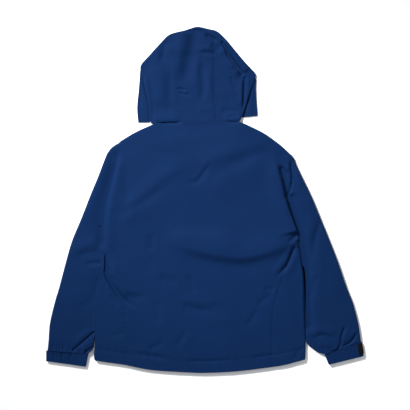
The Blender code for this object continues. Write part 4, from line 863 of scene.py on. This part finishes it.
def sleeve_tube(side):
    outer, inner, v = SLEEVE_OUTER[side], sleeve_inner(side), DOWN_THE_SLEEVE
    outer_edge, inner_edge = walk(outer, v), walk(inner, v)
    out, back_in = outward(outer, v, side), outward(inner, v, -side)
    out[0] = SHOULDER_POINTS[side][1]
    turn = ease((v - 0.94) / 0.06)[:, None]
    out, back_in = blend(out, across_cuff(side), turn), blend(back_in, -across_cuff(side), turn)
    start, end = SLEEVES.inset(outer_edge, out), SLEEVES.inset(inner_edge, back_in, SIDE_FOLD[side])

    def between(armhole, columns):
        """The places between the two edges, from the armhole to the cuff."""
        u = spread(0.0, 1.0, columns)
        round_armhole = side_line(side, SIDE_SEAM[side], armhole)
        low = np.column_stack([np.interp(blend(1.0, UNDERARM_SHARE, u), UP_THE_BODY, round_armhole[:, k])
                               for k in (0, 1)]) + (side * SEAM_GAP, 0.0)
        low[0], low[-1] = start[0], end[0]
        return patch(low, blend(start[-1], end[-1], u[:, None]), start, end, u, v)[:, 1:-1]

    over = SLEEVES.upper(between(ARMHOLE[side], 72))
    lean(over[1], 0, slice(None), (side * SEAM_LAP, 0.0))
    lean(over[1], -1, slice(None), (0.0, -SEAM_LAP))
    under = SLEEVES.lower(between(UNDER_ARMHOLE[side], 30)[:, ::-1])
    skins = SLEEVES.tube(over, under, outer_edge, out, inner_edge, back_in, FOLD_STEPS, SIDE_FOLD[side])
    return sew("sleeve_tube_" + SIDES[side], *skins, closed=True)


for side, name in SIDES.items():
    sleeve = dress(sleeve_tube(side), navy_shell, "navy_shell", "sleeve_" + name)


# ======== Cuffs ==========================================================================================
# Bands of the shell cloth, folded double round the sleeve's end. Elastic gathers a stretch of each band, and
# a black hook-and-loop tab closes it: it shows at the edge of the right cuff and lies under the left one.
CUFF_WALL = 3.4 * MM
CUFF_SLACK = 1 * MM
CUFF_LIFT = 2.1 * MM
CUFF_THREAD_DROP = 0.35 * MM
CUFF_GATHERS = {-1: {"start": 0.10, "end": 0.72, "count": 11, "depth": 2.3 * MM, "even": 0.4},
                1: {"start": 0.06, "end": 0.50, "count": 7, "depth": 0.8 * MM, "even": 0.6}}
TAB_THICKNESS = 1.4 * MM
TAB_OFF = 0.45 * MM             # how far the tab lies off the cuff
TAB_ABOVE = (1.3, 0.6)          # centimetres in from the cuff's edge
TAB_BELOW = (0.6, 3.2)
CUFF_FOLDS = (
    (((-40, -42.9), (-38.6, -44.6), (-38, -46)), 0.5, 0.5, -0.8, 0.2, 0.2),
    (((-36, -43.2), (-35.6, -44.6), (-35.8, -46.2)), 0.8, 0.8, -0.8, 0.2, 0.2),
    (((36, -42.9), (37.4, -43.8), (38.4, -45)), 0.6, 0.6, -0.9, 0.2, 0.2),
    (((39.6, -41.6), (40.6, -42.8), (41, -44)), 0.6, 0.6, -0.8, 0.2, 0.2),
)
CUFFS = Layers(CUFF_WALL, CUFF_SLACK, CUFF_FOLDS, base=CUFF_LIFT, seed=31)


def cuff_edge(side, edge, share):
    """Places along an edge of the cuff, at shares of the way from the sleeve to its end."""
    start, end = np.array(CUFF_EDGES[side][edge])
    return blend(start, end, share)


def cuff_band(side):
    v = spread(0.0, 1.0, 12)[:, None]
    u = spread(0.0, 1.0, 150)[1:-1]
    outer_edge, inner_edge, out = cuff_edge(side, "outer", v), cuff_edge(side, "inner", v), across_cuff(side)
    start, end = CUFFS.inset(outer_edge, out)[:, None], CUFFS.inset(inner_edge, -out)[:, None]
    over = CUFFS.upper(blend(start, end, u[:, None]))
    lean(over[1], 0, slice(None), (0.0, -SEAM_LAP))
    gathers = CUFF_GATHERS[side]
    turn = np.clip((u - gathers["start"]) / (gathers["end"] - gathers["start"]), 0.0, 1.0)
    phase = turn * gathers["count"] + 0.30 * np.sin(turn * 17.0)
    depth = gathers["depth"] * blend(gathers["even"], 1.0, np.sin(turn * 9.0 + 0.6) ** 2)
    depth = depth * ease(turn / 0.08) * ease((1.0 - turn) / 0.2)
    over[0][..., 2] -= depth * (0.5 - 0.5 * np.cos(2 * math.pi * phase)) * (1.0 - 0.55 * v)
    over[0][..., 2] -= 0.5 * MM * swell(v, 0.12, 0.08) + 0.4 * MM * swell(v, 0.88, 0.07)
    under = CUFFS.lower(blend(start, end, spread(1.0, 0.0, 24)[1:-1, None]))
    skins = CUFFS.tube(over, under, outer_edge, out, inner_edge, -out, NARROW_FOLD_STEPS)
    return sew("cuff_band_" + SIDES[side], *skins, closed=True)


def hook_loop_pile():
    """Black hook-and-loop tape: a dense short pile with a dull, broken surface."""
    material, tree, shader, place = new_material("hook_loop_pile")
    loops = add_node(tree, "TexVoronoi", {"Scale": 1400.0, "Vector": place["Object"]}).outputs["Distance"]
    ramp = add_node(tree, "ValToRGB", {"Fac": loops})
    ramp.color_ramp.elements[0].color = (0.006, 0.006, 0.007, 1.0)
    ramp.color_ramp.elements[1].color = (0.001, 0.001, 0.0015, 1.0)
    raised = add_node(tree, "Bump", {"Strength": 0.6, "Distance": 0.0004, "Height": loops}, invert=True)
    feed(shader, {"Base Color": ramp.outputs["Color"], "Normal": raised.outputs["Normal"], "Roughness": 0.95,
                  "Specular IOR Level": 0.1})
    return material


def cuff_tab(side):
    """The tab lies just off the cuff: round its edge on the right, under it on the left."""
    offs = (TAB_OFF + TAB_THICKNESS, TAB_OFF)
    skins = [Layers(CUFF_WALL + off, CUFF_SLACK, (), base=CUFF_LIFT - off, seed=31) for off in offs]
    past_edge = (1.5 * TAB_OFF + TAB_THICKNESS, 1.5 * TAB_OFF)
    v = spread(0.10, 0.86, 16)[:, None]
    edge, out = cuff_edge(side, "outer", v), across_cuff(side)
    lines = []
    if side > 0:
        lines += [[skin.upper(edge - out * inward)[0] for skin in skins]
                  for inward in spread(*TAB_ABOVE, 5)[:-1]]
        lines += [[skin.bend(edge + out * past / CM, out, angle)[0] for skin, past in zip(skins, past_edge)]
                  for angle in spread(90, -70, 12)]
    lines += [[skin.lower(edge - out * inward)[0] for skin in skins] for inward in spread(*TAB_BELOW, 14)]
    outer, inner = (np.stack(skin, 1) for skin in zip(*lines))
    if side > 0:
        narrowed = 1.0 - 0.10 * (1.0 - ease(np.minimum(v, 0.96 - v) / 0.25))
        outer[..., :2] = blend(edge.mean(0) * CM, outer[..., :2], narrowed[:, None])
    return sew("cuff_tab_piece_" + SIDES[side], outer, inner)


black_pile = hook_loop_pile()
for side, name in SIDES.items():
    band = dress(cuff_band(side), navy_shell, "navy_shell", "cuff_" + name)
    tab = dress(cuff_tab(side), black_pile, "black_hook_loop", "cuff_tab_" + name)
    rows = []
    for v in (0.17, 0.86):
        at = blend(cuff_edge(side, "outer", v), cuff_edge(side, "inner", v), spread(0.03, 0.97, 200)[:, None])
        rows.append((CUFFS.upper(at)[0] - (0.0, 0.0, CUFF_THREAD_DROP), UP))
    stitch_rows("cuff_stitching_" + name, rows, height=0.45 * MM)


# ======== Hood ===========================================================================================
# Three panels of the shell cloth with a thin lining: a strip from the neck over the crown, and two sides
# that fold round the outline to the face opening underneath. The front edges are separate doubled bands,
# which stick out at both lower corners.
HOOD_WALL = 3 * MM
HOOD_SLACK = 1.2 * MM
HOOD_REST = 1.6 * MM
HOOD_EDGE = {
    -1: ((-15.6, 21.8), (-15.9, 27), (-16.9, 30.8), (-17.7, 34.8), (-18.1, 37.6), (-15.4, 40.8),
         (-12.6, 43.9), (-10, 46.35), (-6.1, 47.4)),
    1: ((10.4, 23.1), (11.9, 27.7), (12.9, 30.8), (13.8, 33.2), (14.2, 34.5), (14, 35.6), (11.2, 38.6),
        (8.25, 42.1), (5.3, 45.6), (3.3, 47.3), (1.75, 47.75)),
}
HOOD_CROWN = ((-6.09, 47.4), (-4.2, 48.05), (-2.2, 48.57), (-0.4, 48.25), (1.74, 47.75))
HOOD_SEAM = {
    -1: ((-7.1, 21.9), (-7.4, 24.4), (-8.2, 32.2), (-8.2, 40.1), (-7.6, 43.5), (-6.1, 46.9)),
    1: ((3.1, 22.02), (2.9, 25.5), (2.5, 31.4), (2.5, 40.4), (2.3, 44.3), (1.75, 47.3)),
}
HOOD_FACE = {
    -1: ((-13.4, 22.4), (-13, 28), (-13.4, 34), (-12.6, 38), (-9.8, 41.6), (-6.1, 43.2)),
    1: ((8, 23.4), (8.8, 28), (9.9, 33), (9.4, 36), (6.4, 40.2), (1.75, 43.2)),
}
FACE_OPENING = {"left": -12.6, "right": 9, "crown": 42.6, "neck": 20.5}
FACE_SINK = 3                   # centimetres over which the hood sinks inside the opening
NECK_SIDE_SINK = 7              # the same, from the neck
SEAM_SPLIT = 0.70               # share of a side's seam that runs along the strip before the crown
AROUND_EDGE = spread(90, -90, FOLD_STEPS)
BAND_OUTER = {-1: ((-18.8, 21.7), (-19.1, 25.9), (-18.6, 31.4), (-18.25, 36.4)),
              1: ((14.75, 23.6), (14.5, 27), (14.3, 31.1), (14.4, 33.4))}
BAND_SHARES = {-1: 6 / 13, 1: 5 / 13}           # of the hood's edge
BAND_RISE = 4 * MM
BAND_DIP = {-1: (1.1 * MM, 0.14), 1: (3 * MM, 0.26)}
HOOD_FOLDS = (
    # the deep valley beside the left seam, and the lower ones
    (((-2.6, 48), (-3.5, 43.6), (-4.4, 40), (-5.2, 36.6), (-6.1, 31.8)), 1.9, 1.7, -3.3, 0.02, 0.25),
    (((-5.6, 47.4), (-7, 42), (-7.9, 37.6), (-8.6, 32.6)), 1.9, 2.2, 4.6, 0.05, 0.3),
    (((-0.4, 44), (-1.4, 41), (-2, 38.6), (-2.5, 34), (-2.7, 30.6)), 0.8, 1.2, 1.2, 0.25, 0.3),
    (((-1.2, 38.6), (-0.7, 35), (-0.5, 32.2), (-1, 27)), 1, 1.1, -3, 0.2, 0.3),
    (((0.9, 38), (1.2, 33), (1, 27)), 0.9, 0.9, 1.2),
    (((-8, 31.3), (-6.8, 31), (-5.5, 30.5)), 0.32, 0.36, -3, 0.2, 0.3),
    (((-7.5, 30.1), (-5.9, 29.7), (-4, 29.1)), 0.34, 0.36, -2.2, 0.2, 0.3),
    (((-7.8, 30.6), (-6.3, 30.35), (-4.8, 29.8)), 0.3, 0.3, 1, 0.2, 0.3),
    # dents at the crown, right
    (((-0.2, 46.6), (0.8, 45.9), (2, 45.2), (3.6, 44.6)), 0.7, 0.55, -6, 0.35, 0.35),
    (((0.6, 47), (2, 46.2), (3.8, 45)), 0.6, 0.6, 2.2),
    (((1.4, 43.4), (3.2, 42.3), (4.9, 41.9)), 0.8, 0.9, -2.6, 0.2, 0.3),
    (((-2.8, 41.1), (-0.6, 41.3), (1.6, 41.1), (3.6, 40.7)), 0.6, 0.7, -2.4, 0.4, 0.3),
    (((-1.4, 42.4), (0.6, 42.6), (2.8, 42.3)), 0.8, 0.8, 1.5, 0.35, 0.35),
    (((-1.4, 40), (0.5, 40.1), (3.2, 39.5)), 0.8, 0.8, 0.9),
    (((4.4, 44.6), (5.3, 43.6), (6.5, 40.9), (8.3, 38.3), (10.9, 34.8)), 0.30, 0.50, -8.5, 0.1, 0.05),
    (((5.1, 45), (6.1, 43.4), (7.2, 41.3), (9, 38.8), (11.7, 35.6)), 1.3, 0.42, 4.6, 0.1, 0.08),
    (((4.7, 43.6), (6.05, 40.6), (7.95, 37.7), (10.4, 34.7)), 0.36, 1.5, 6, 0.2, 0.2),
    (((7.4, 37.4), (8.8, 35.6), (10.6, 33.9)), 0.34, 0.4, -2.4, 0.2, 0.1),
    (((7.3, 34.8), (8, 32.4), (9.3, 30.6)), 0.5, 0.6, -2.2, 0.2, 0.3),
    (((11.15, 34.8), (11.05, 32), (10.95, 29.3), (10.75, 24.8)), 0.36, 0.36, -4.6, 0.08, 0.25),
    (((10.3, 34), (10.2, 31), (10.1, 28), (9.9, 25.4)), 0.42, 0.9, 2.6, 0.15, 0.3),
    (((12.2, 34.6), (12, 31), (11.4, 26.6)), 0.5, 0.6, 1.4, 0.15, 0.3),
    # left side
    (((-11.2, 44.6), (-11.7, 41.5), (-12.4, 38)), 0.8, 0.9, -2, 0.1, 0.3),
    (((-12.8, 43), (-13.4, 40.6), (-14.2, 37)), 0.9, 0.9, 1.1, 0.2, 0.3),
    (((-9.6, 44.2), (-9.9, 40.6), (-10.4, 36)), 0.9, 0.9, 1.1, 0.2, 0.3),
    (((-14.6, 38.6), (-13.2, 32), (-12.6, 26)), 2.2, 2.2, 1.8, 0.22, 0.22),
    (((-9.8, 36.4), (-10, 31), (-9.8, 27.6)), 1, 1, -1.2, 0.25, 0.25),
    (((-16.6, 34.8), (-15.9, 30), (-15.2, 24)), 0.5, 0.6, 1.6, 0.15, 0.15),
    (((5.4, 40), (6.4, 34), (6.4, 27.6)), 2, 2, 1.6, 0.22, 0.22),
    (((-14.2, 26.2), (-11, 25.5), (-8.6, 25.9)), 0.8, 0.9, -1.1),
    (((4, 24.4), (7, 25.1), (9.6, 24.4)), 0.7, 0.7, -1.5, 0.3, 0.2),
    (((6, 23), (8, 23.5), (9.8, 23.4)), 0.5, 0.5, -1.6, 0.3, 0.2),
    (((-3, 24.8), (0.2, 25.6), (2.6, 25)), 1, 1, 1),
    # seams
    (HOOD_SEAM[-1], 0.28, 0.28, -0.15, 0, 0.02),
    (HOOD_SEAM[1], 0.30, 0.30, -0.4, 0, 0.02),
    (HOOD_SEAM[1], 0.9, 0.9, -0.35, 0, 0.1, 1.9),
    (HOOD_SEAM[-1], 0.9, 0.9, -0.3, 0, 0.1, 2.3),
    # the lower edge stands off the neck seam at both ends
    (((-14.6, 22.3), (-12.8, 22.5), (-9.6, 22.6), (-6, 22.5)), 1.3, 0.9, 2.4, 0.1, 0.35),
    (((4.6, 22.7), (7.8, 22.7), (10.2, 23.1)), 1.3, 0.9, 2.4, 0.35, 0.1),
)


def hood_sink(x, y):
    """Between the two under layers the hood sinks towards the floor."""
    inside = ease((x - FACE_OPENING["left"]) / FACE_SINK) * ease((FACE_OPENING["right"] - x) / FACE_SINK)
    inside = inside * ease((FACE_OPENING["crown"] - y) / FACE_SINK)
    inside = inside * ease((y - FACE_OPENING["neck"]) / NECK_SIDE_SINK)
    return (HOOD_WALL + HOOD_SLACK - HOOD_REST) * inside


HOOD = Layers(HOOD_WALL, HOOD_SLACK, HOOD_FOLDS, sink=hood_sink, seed=47)


def hood_strip():
    """The strip over the crown."""
    v, u = spread(0.0, 1.0, 130), spread(0.0, 1.0, 48)
    crown_x = blend(HOOD_CROWN[0][0], HOOD_CROWN[-1][0], u)
    crown_edge, up = np.column_stack([crown_x, read_off(HOOD_CROWN, crown_x)]), np.array([0.0, 1.0])
    crown = HOOD.inset(crown_edge, up)
    left, right = (walk(HOOD_SEAM[side], v) - (side * SEAM_GAP / 2, 0.0) for side in SIDES)
    left += (crown[0] - left[-1]) * v[:, None]
    right += (crown[-1] - right[-1]) * v[:, None]
    neck_x = blend(left[0, 0], right[0, 0], u)
    neck = np.column_stack([neck_x, read_off(NECK_SEAM, neck_x) + SEAM_GAP])
    skins = HOOD.upper(patch(neck, crown, left, right, u, v))
    lean(skins[1], slice(None), 0, (-SEAM_LAP, 0.0))
    lean(skins[1], slice(None), -1, (SEAM_LAP, 0.0))
    lean(skins[1], 0, slice(1, -1), (0.0, SEAM_LAP))
    face = np.column_stack([crown[:, 0], np.full(len(crown), HOOD_FACE[-1][-1][1])])
    lines = [HOOD.bend(crown_edge, up, angle) for angle in AROUND_EDGE[1:]]
    lines += [HOOD.lower(blend(crown, face, t)) for t in spread(0.0, 1.0, 10)[1:]]
    return sew("hood_strip", *add_lines(skins, lines, 0))


def hood_side(side):
    v, u = spread(0.0, 1.0, 130), spread(0.0, 1.0, 62)
    edge = walk(HOOD_EDGE[side], v)
    turn = ease((v - 0.85) / 0.15)[:, None]
    out = unit(blend(outward(HOOD_EDGE[side], v, -side), np.array([0.0, 1.0]), turn))
    start = HOOD.inset(edge, out)
    gap = (side * SEAM_GAP / 2, 0.0)
    seam_low = walk(HOOD_SEAM[side], SEAM_SPLIT * v) + gap
    high = walk(HOOD_SEAM[side], blend(SEAM_SPLIT, 1.0, u)) + gap
    high[-1] = start[-1]
    x = blend(seam_low[0, 0], start[0, 0], u)
    past_neck = np.maximum(0.0, (x - NECK_ENDS[side]) * side)
    low = np.column_stack([x, read_off(NECK_SEAM, x) + SEAM_GAP + past_neck])
    low[-1] = start[0]
    skins = [skin[:, :-1] for skin in HOOD.upper(patch(low, high, seam_low, start, u, v))]
    lean(skins[1], slice(None), 0, (side * SEAM_LAP, 0.0))
    lean(skins[1], -1, slice(1, None), (side * SEAM_LAP, 0.0))
    lean(skins[1], 0, slice(1, None), (0.0, SEAM_LAP))
    face = walk(HOOD_FACE[side], v)
    lines = [HOOD.bend(edge, out, angle) for angle in AROUND_EDGE]
    lines += [HOOD.lower(blend(start, face, t)) for t in spread(0.0, 1.0, 12)[1:]]
    return sew("hood_panel_" + SIDES[side], *add_lines(skins, lines, 1))


def hood_band(side):
    """The doubled front edge beside the folded hood, at a lower corner."""
    v, t = spread(0.0, 1.0, 48), spread(0.0, 1.0, 12)
    share = v * BAND_SHARES[side]
    inner = walk(HOOD_EDGE[side], share) + outward(HOOD_EDGE[side], share, -side) * 0.03
    at = blend(inner[:, None], walk(BAND_OUTER[side], v)[:, None], t[:, None])
    depth, reach = BAND_DIP[side]
    rise = BAND_RISE * (1.0 - 0.25 * t ** 2) + 0.35 * MM * undulation(at[..., 0], at[..., 1], 2.0, 53)
    rise = rise - 0.6 * MM * swell(t, 0.72, 0.08) - depth * swell(t, 0.0, 0.03 + reach * (1.0 - v[:, None]))
    lining = at_height(at, 0.0)
    lean(lining, slice(None), 0, (-side * SEAM_LAP, 0.0))
    return sew("hood_band_" + SIDES[side], at_height(at, rise), lining)


strip = dress(hood_strip(), navy_shell, "navy_shell", "hood_center")
for side, name in SIDES.items():
    panel = dress(hood_side(side), navy_shell, "navy_shell", "hood_" + name)
    band = dress(hood_band(side), navy_shell, "navy_shell", "hood_front_" + name)
hood_rows = [beside(HOOD_SEAM[-1], -0.5), beside(HOOD_SEAM[1], 0.5), beside(HOOD_SEAM[1], -0.5)]
stitch_rows("hood_stitching", [(lay_on(HOOD.upper, row, 260), UP) for row in hood_rows])


# ======== Front zip ======================================================================================
# A woven tape sewn under both front edges, with two rows of moulded teeth that mesh along its middle. The
# slider and its pull tab are dark metal and keep the shape of their CAD nodes.
TAPE_HALF = 1.6
TAPE_LOW = 5.3 * MM
TAPE_HIGH = 5.9 * MM
CHAIN_LOW = 3.9 * MM
TOOTH_PITCH = 0.27
TOOTH_OUTLINE = ((-0.19, -0.085), (-0.04, -0.085), (0.03, -0.055), (0.085, -0.095), (0.12, 0), (0.085, 0.095),
                 (0.03, 0.055), (-0.04, 0.085), (-0.19, 0.085))
TOOTH_LEVELS = ((CHAIN_LOW, 0.8), (CHAIN_LOW + 0.25 * MM, 1), (TAPE_LOW + 0.1 * MM, 1))    # height, size


def zip_tape():
    y = spread(float(read_off(HEM, ZIP_X)) + 0.6, FRONT_NECK_Y - 0.3, 160)
    t = spread(-1.0, 1.0, 22)
    at = np.stack(np.broadcast_arrays(ZIP_X + TAPE_HALF * t, y[:, None]), -1)
    low = TAPE_LOW + 0.12 * MM * np.abs(t) - 0.3 * MM * swell(t, 0.0, 0.16)
    return sew("zip_tape", at_height(at, TAPE_HIGH), at_height(at, low), rounding=0.05 * MM)


def zip_teeth():
    """Two rows of teeth, each a small waisted block, set half a pitch apart so that they mesh."""
    points, faces = [], []
    count = len(TOOTH_OUTLINE)
    bottom, top = float(read_off(HEM, ZIP_X)) + 1.0, FRONT_NECK_Y - 0.8
    for side in SIDES:
        for y in np.arange(bottom + max(side, 0) * TOOTH_PITCH / 2, top, TOOTH_PITCH):
            first = len(points)
            points += [((ZIP_X - side * a * grow) * CM, (y + b * grow) * CM, z)
                       for z, grow in TOOTH_LEVELS for a, b in TOOTH_OUTLINE]
            for low in (first, first + count):
                faces += [(low + k, low + (k + 1) % count, low + (k + 1) % count + count, low + k + count)
                          for k in range(count)]
            faces.append(tuple(range(first, first + count)))
            faces.append(tuple(reversed(range(first + 2 * count, first + 3 * count))))
    teeth = new_piece("zip_teeth", points, faces)
    teeth.data.validate()
    return teeth


def uneven_polish_group():
    """Small patches that are a little duller and paler, or smoother and deeper."""
    group, given, made = new_group(
        "uneven_polish",
        [("Place", "Vector", None), ("Colour", "Color", (0.05, 0.05, 0.05, 1.0)),
         ("Roughness", "Float", 0.4)],
        [("Colour", "Color"), ("Roughness", "Float")])
    noise = add_node(group, "TexNoise", {"Scale": 600.0, "Detail": 4.0, "Vector": given["Place"]})
    uneven = calc(group, "SUBTRACT", noise.outputs["Fac"], 0.5)
    shade = calc(group, "ADD", calc(group, "MULTIPLY", uneven, 0.5), 1.0)
    dull = calc(group, "ADD", calc(group, "MULTIPLY", uneven, 0.25), given["Roughness"])
    feed(made, {"Colour": tint(group, given["Colour"], shade), "Roughness": dull})
    return group


uneven_polish = uneven_polish_group()


def worn_surface(name, colour, roughness, metallic):
    material, tree, shader, place = new_material(name)
    polish = add_node(tree, "Group", {"Place": place["Object"], "Colour": (*colour, 1.0),
                                      "Roughness": roughness}, node_tree=uneven_polish).outputs
    feed(shader, {"Base Color": polish["Colour"], "Roughness": polish["Roughness"], "Metallic": metallic})
    return material


tape_cloth = woven_cloth("tape_cloth", (0.008, 0.024, 0.085), 1300.0, 0.25, 0.75, 0.2)
dark_metal = worn_surface("dark_metal", (0.05, 0.05, 0.055), 0.38, 1.0)
tooth_plastic = worn_surface("tooth_plastic", (0.008, 0.018, 0.05), 0.45, 0.0)
tape = dress(zip_tape(), tape_cloth, "zip_tape", "front_zip")
dress(zip_teeth(), tooth_plastic, "zip_tape")
for node in ("zip_slider", "zip_pull"):
    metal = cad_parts[node]
    metal.data.materials.clear()
    metal.data.materials.append(dark_metal)


# ======== Floor, light and camera ========================================================================
# A plain pale studio floor, a broad soft light from beyond the hood and a little to the left, a narrow one
# from the same side that stays on the jacket, a pale room round them, and the camera straight above, as in
# the photograph.
FLOOR_HALF = 6
FLOOR_DROP = 0.5 * MM
PHOTO_MIDDLE = (-0.0003, -0.0149)
CAMERA_HEIGHT = 2.721


def add_light(name, kind, place, aim, power, **look):
    light = bpy.data.lights.new(name, kind)
    light.energy = power
    for key, value in look.items():
        setattr(light, key, value)
    lamp = put_in_scene(name, light)
    lamp.location = place
    way = np.subtract(aim, place)
    lamp.rotation_euler = (math.atan2(math.hypot(way[0], way[1]), -way[2]), 0.0, math.atan2(-way[0], way[1]))


floor = new_piece("studio_floor", [(x * FLOOR_HALF, y * FLOOR_HALF, 0) for x, y in
                                   ((-1, -1), (1, -1), (1, 1), (-1, 1))], [(0, 1, 2, 3)])
floor.location.z = -FLOOR_DROP
floor_paint, _, floor_shader, _ = new_material("studio_floor")
feed(floor_shader, {"Base Color": (0.93, 0.93, 0.93, 1.0), "Roughness": 0.9, "Specular IOR Level": 0.1})
floor.data.materials.append(floor_paint)

add_light("key_light", "AREA", (-3.8, 4.6, 4.2), (0.0, 0.0, 0.0), 430.0, shape="DISK", size=1.6)
add_light("pool_light", "SPOT", (-1.5, 1.8, 2.0), (-0.07, 0.05, 0.0), 640.0, shadow_soft_size=0.30,
          spot_size=math.radians(28.5), spot_blend=1.0)

world = bpy.data.worlds.new("studio_room")
world.use_nodes = True
feed(world.node_tree.nodes["Background"], {"Color": (0.93, 0.96, 1.0, 1.0), "Strength": 0.55})
bpy.context.scene.world = world

lens = bpy.data.cameras.new("camera")
lens.lens = 85.0
lens.sensor_width = 36.0
camera = put_in_scene("camera", lens)
camera.location = (*PHOTO_MIDDLE, CAMERA_HEIGHT)
bpy.context.scene.camera = camera
bpy.context.scene.view_settings.view_transform = "Standard"
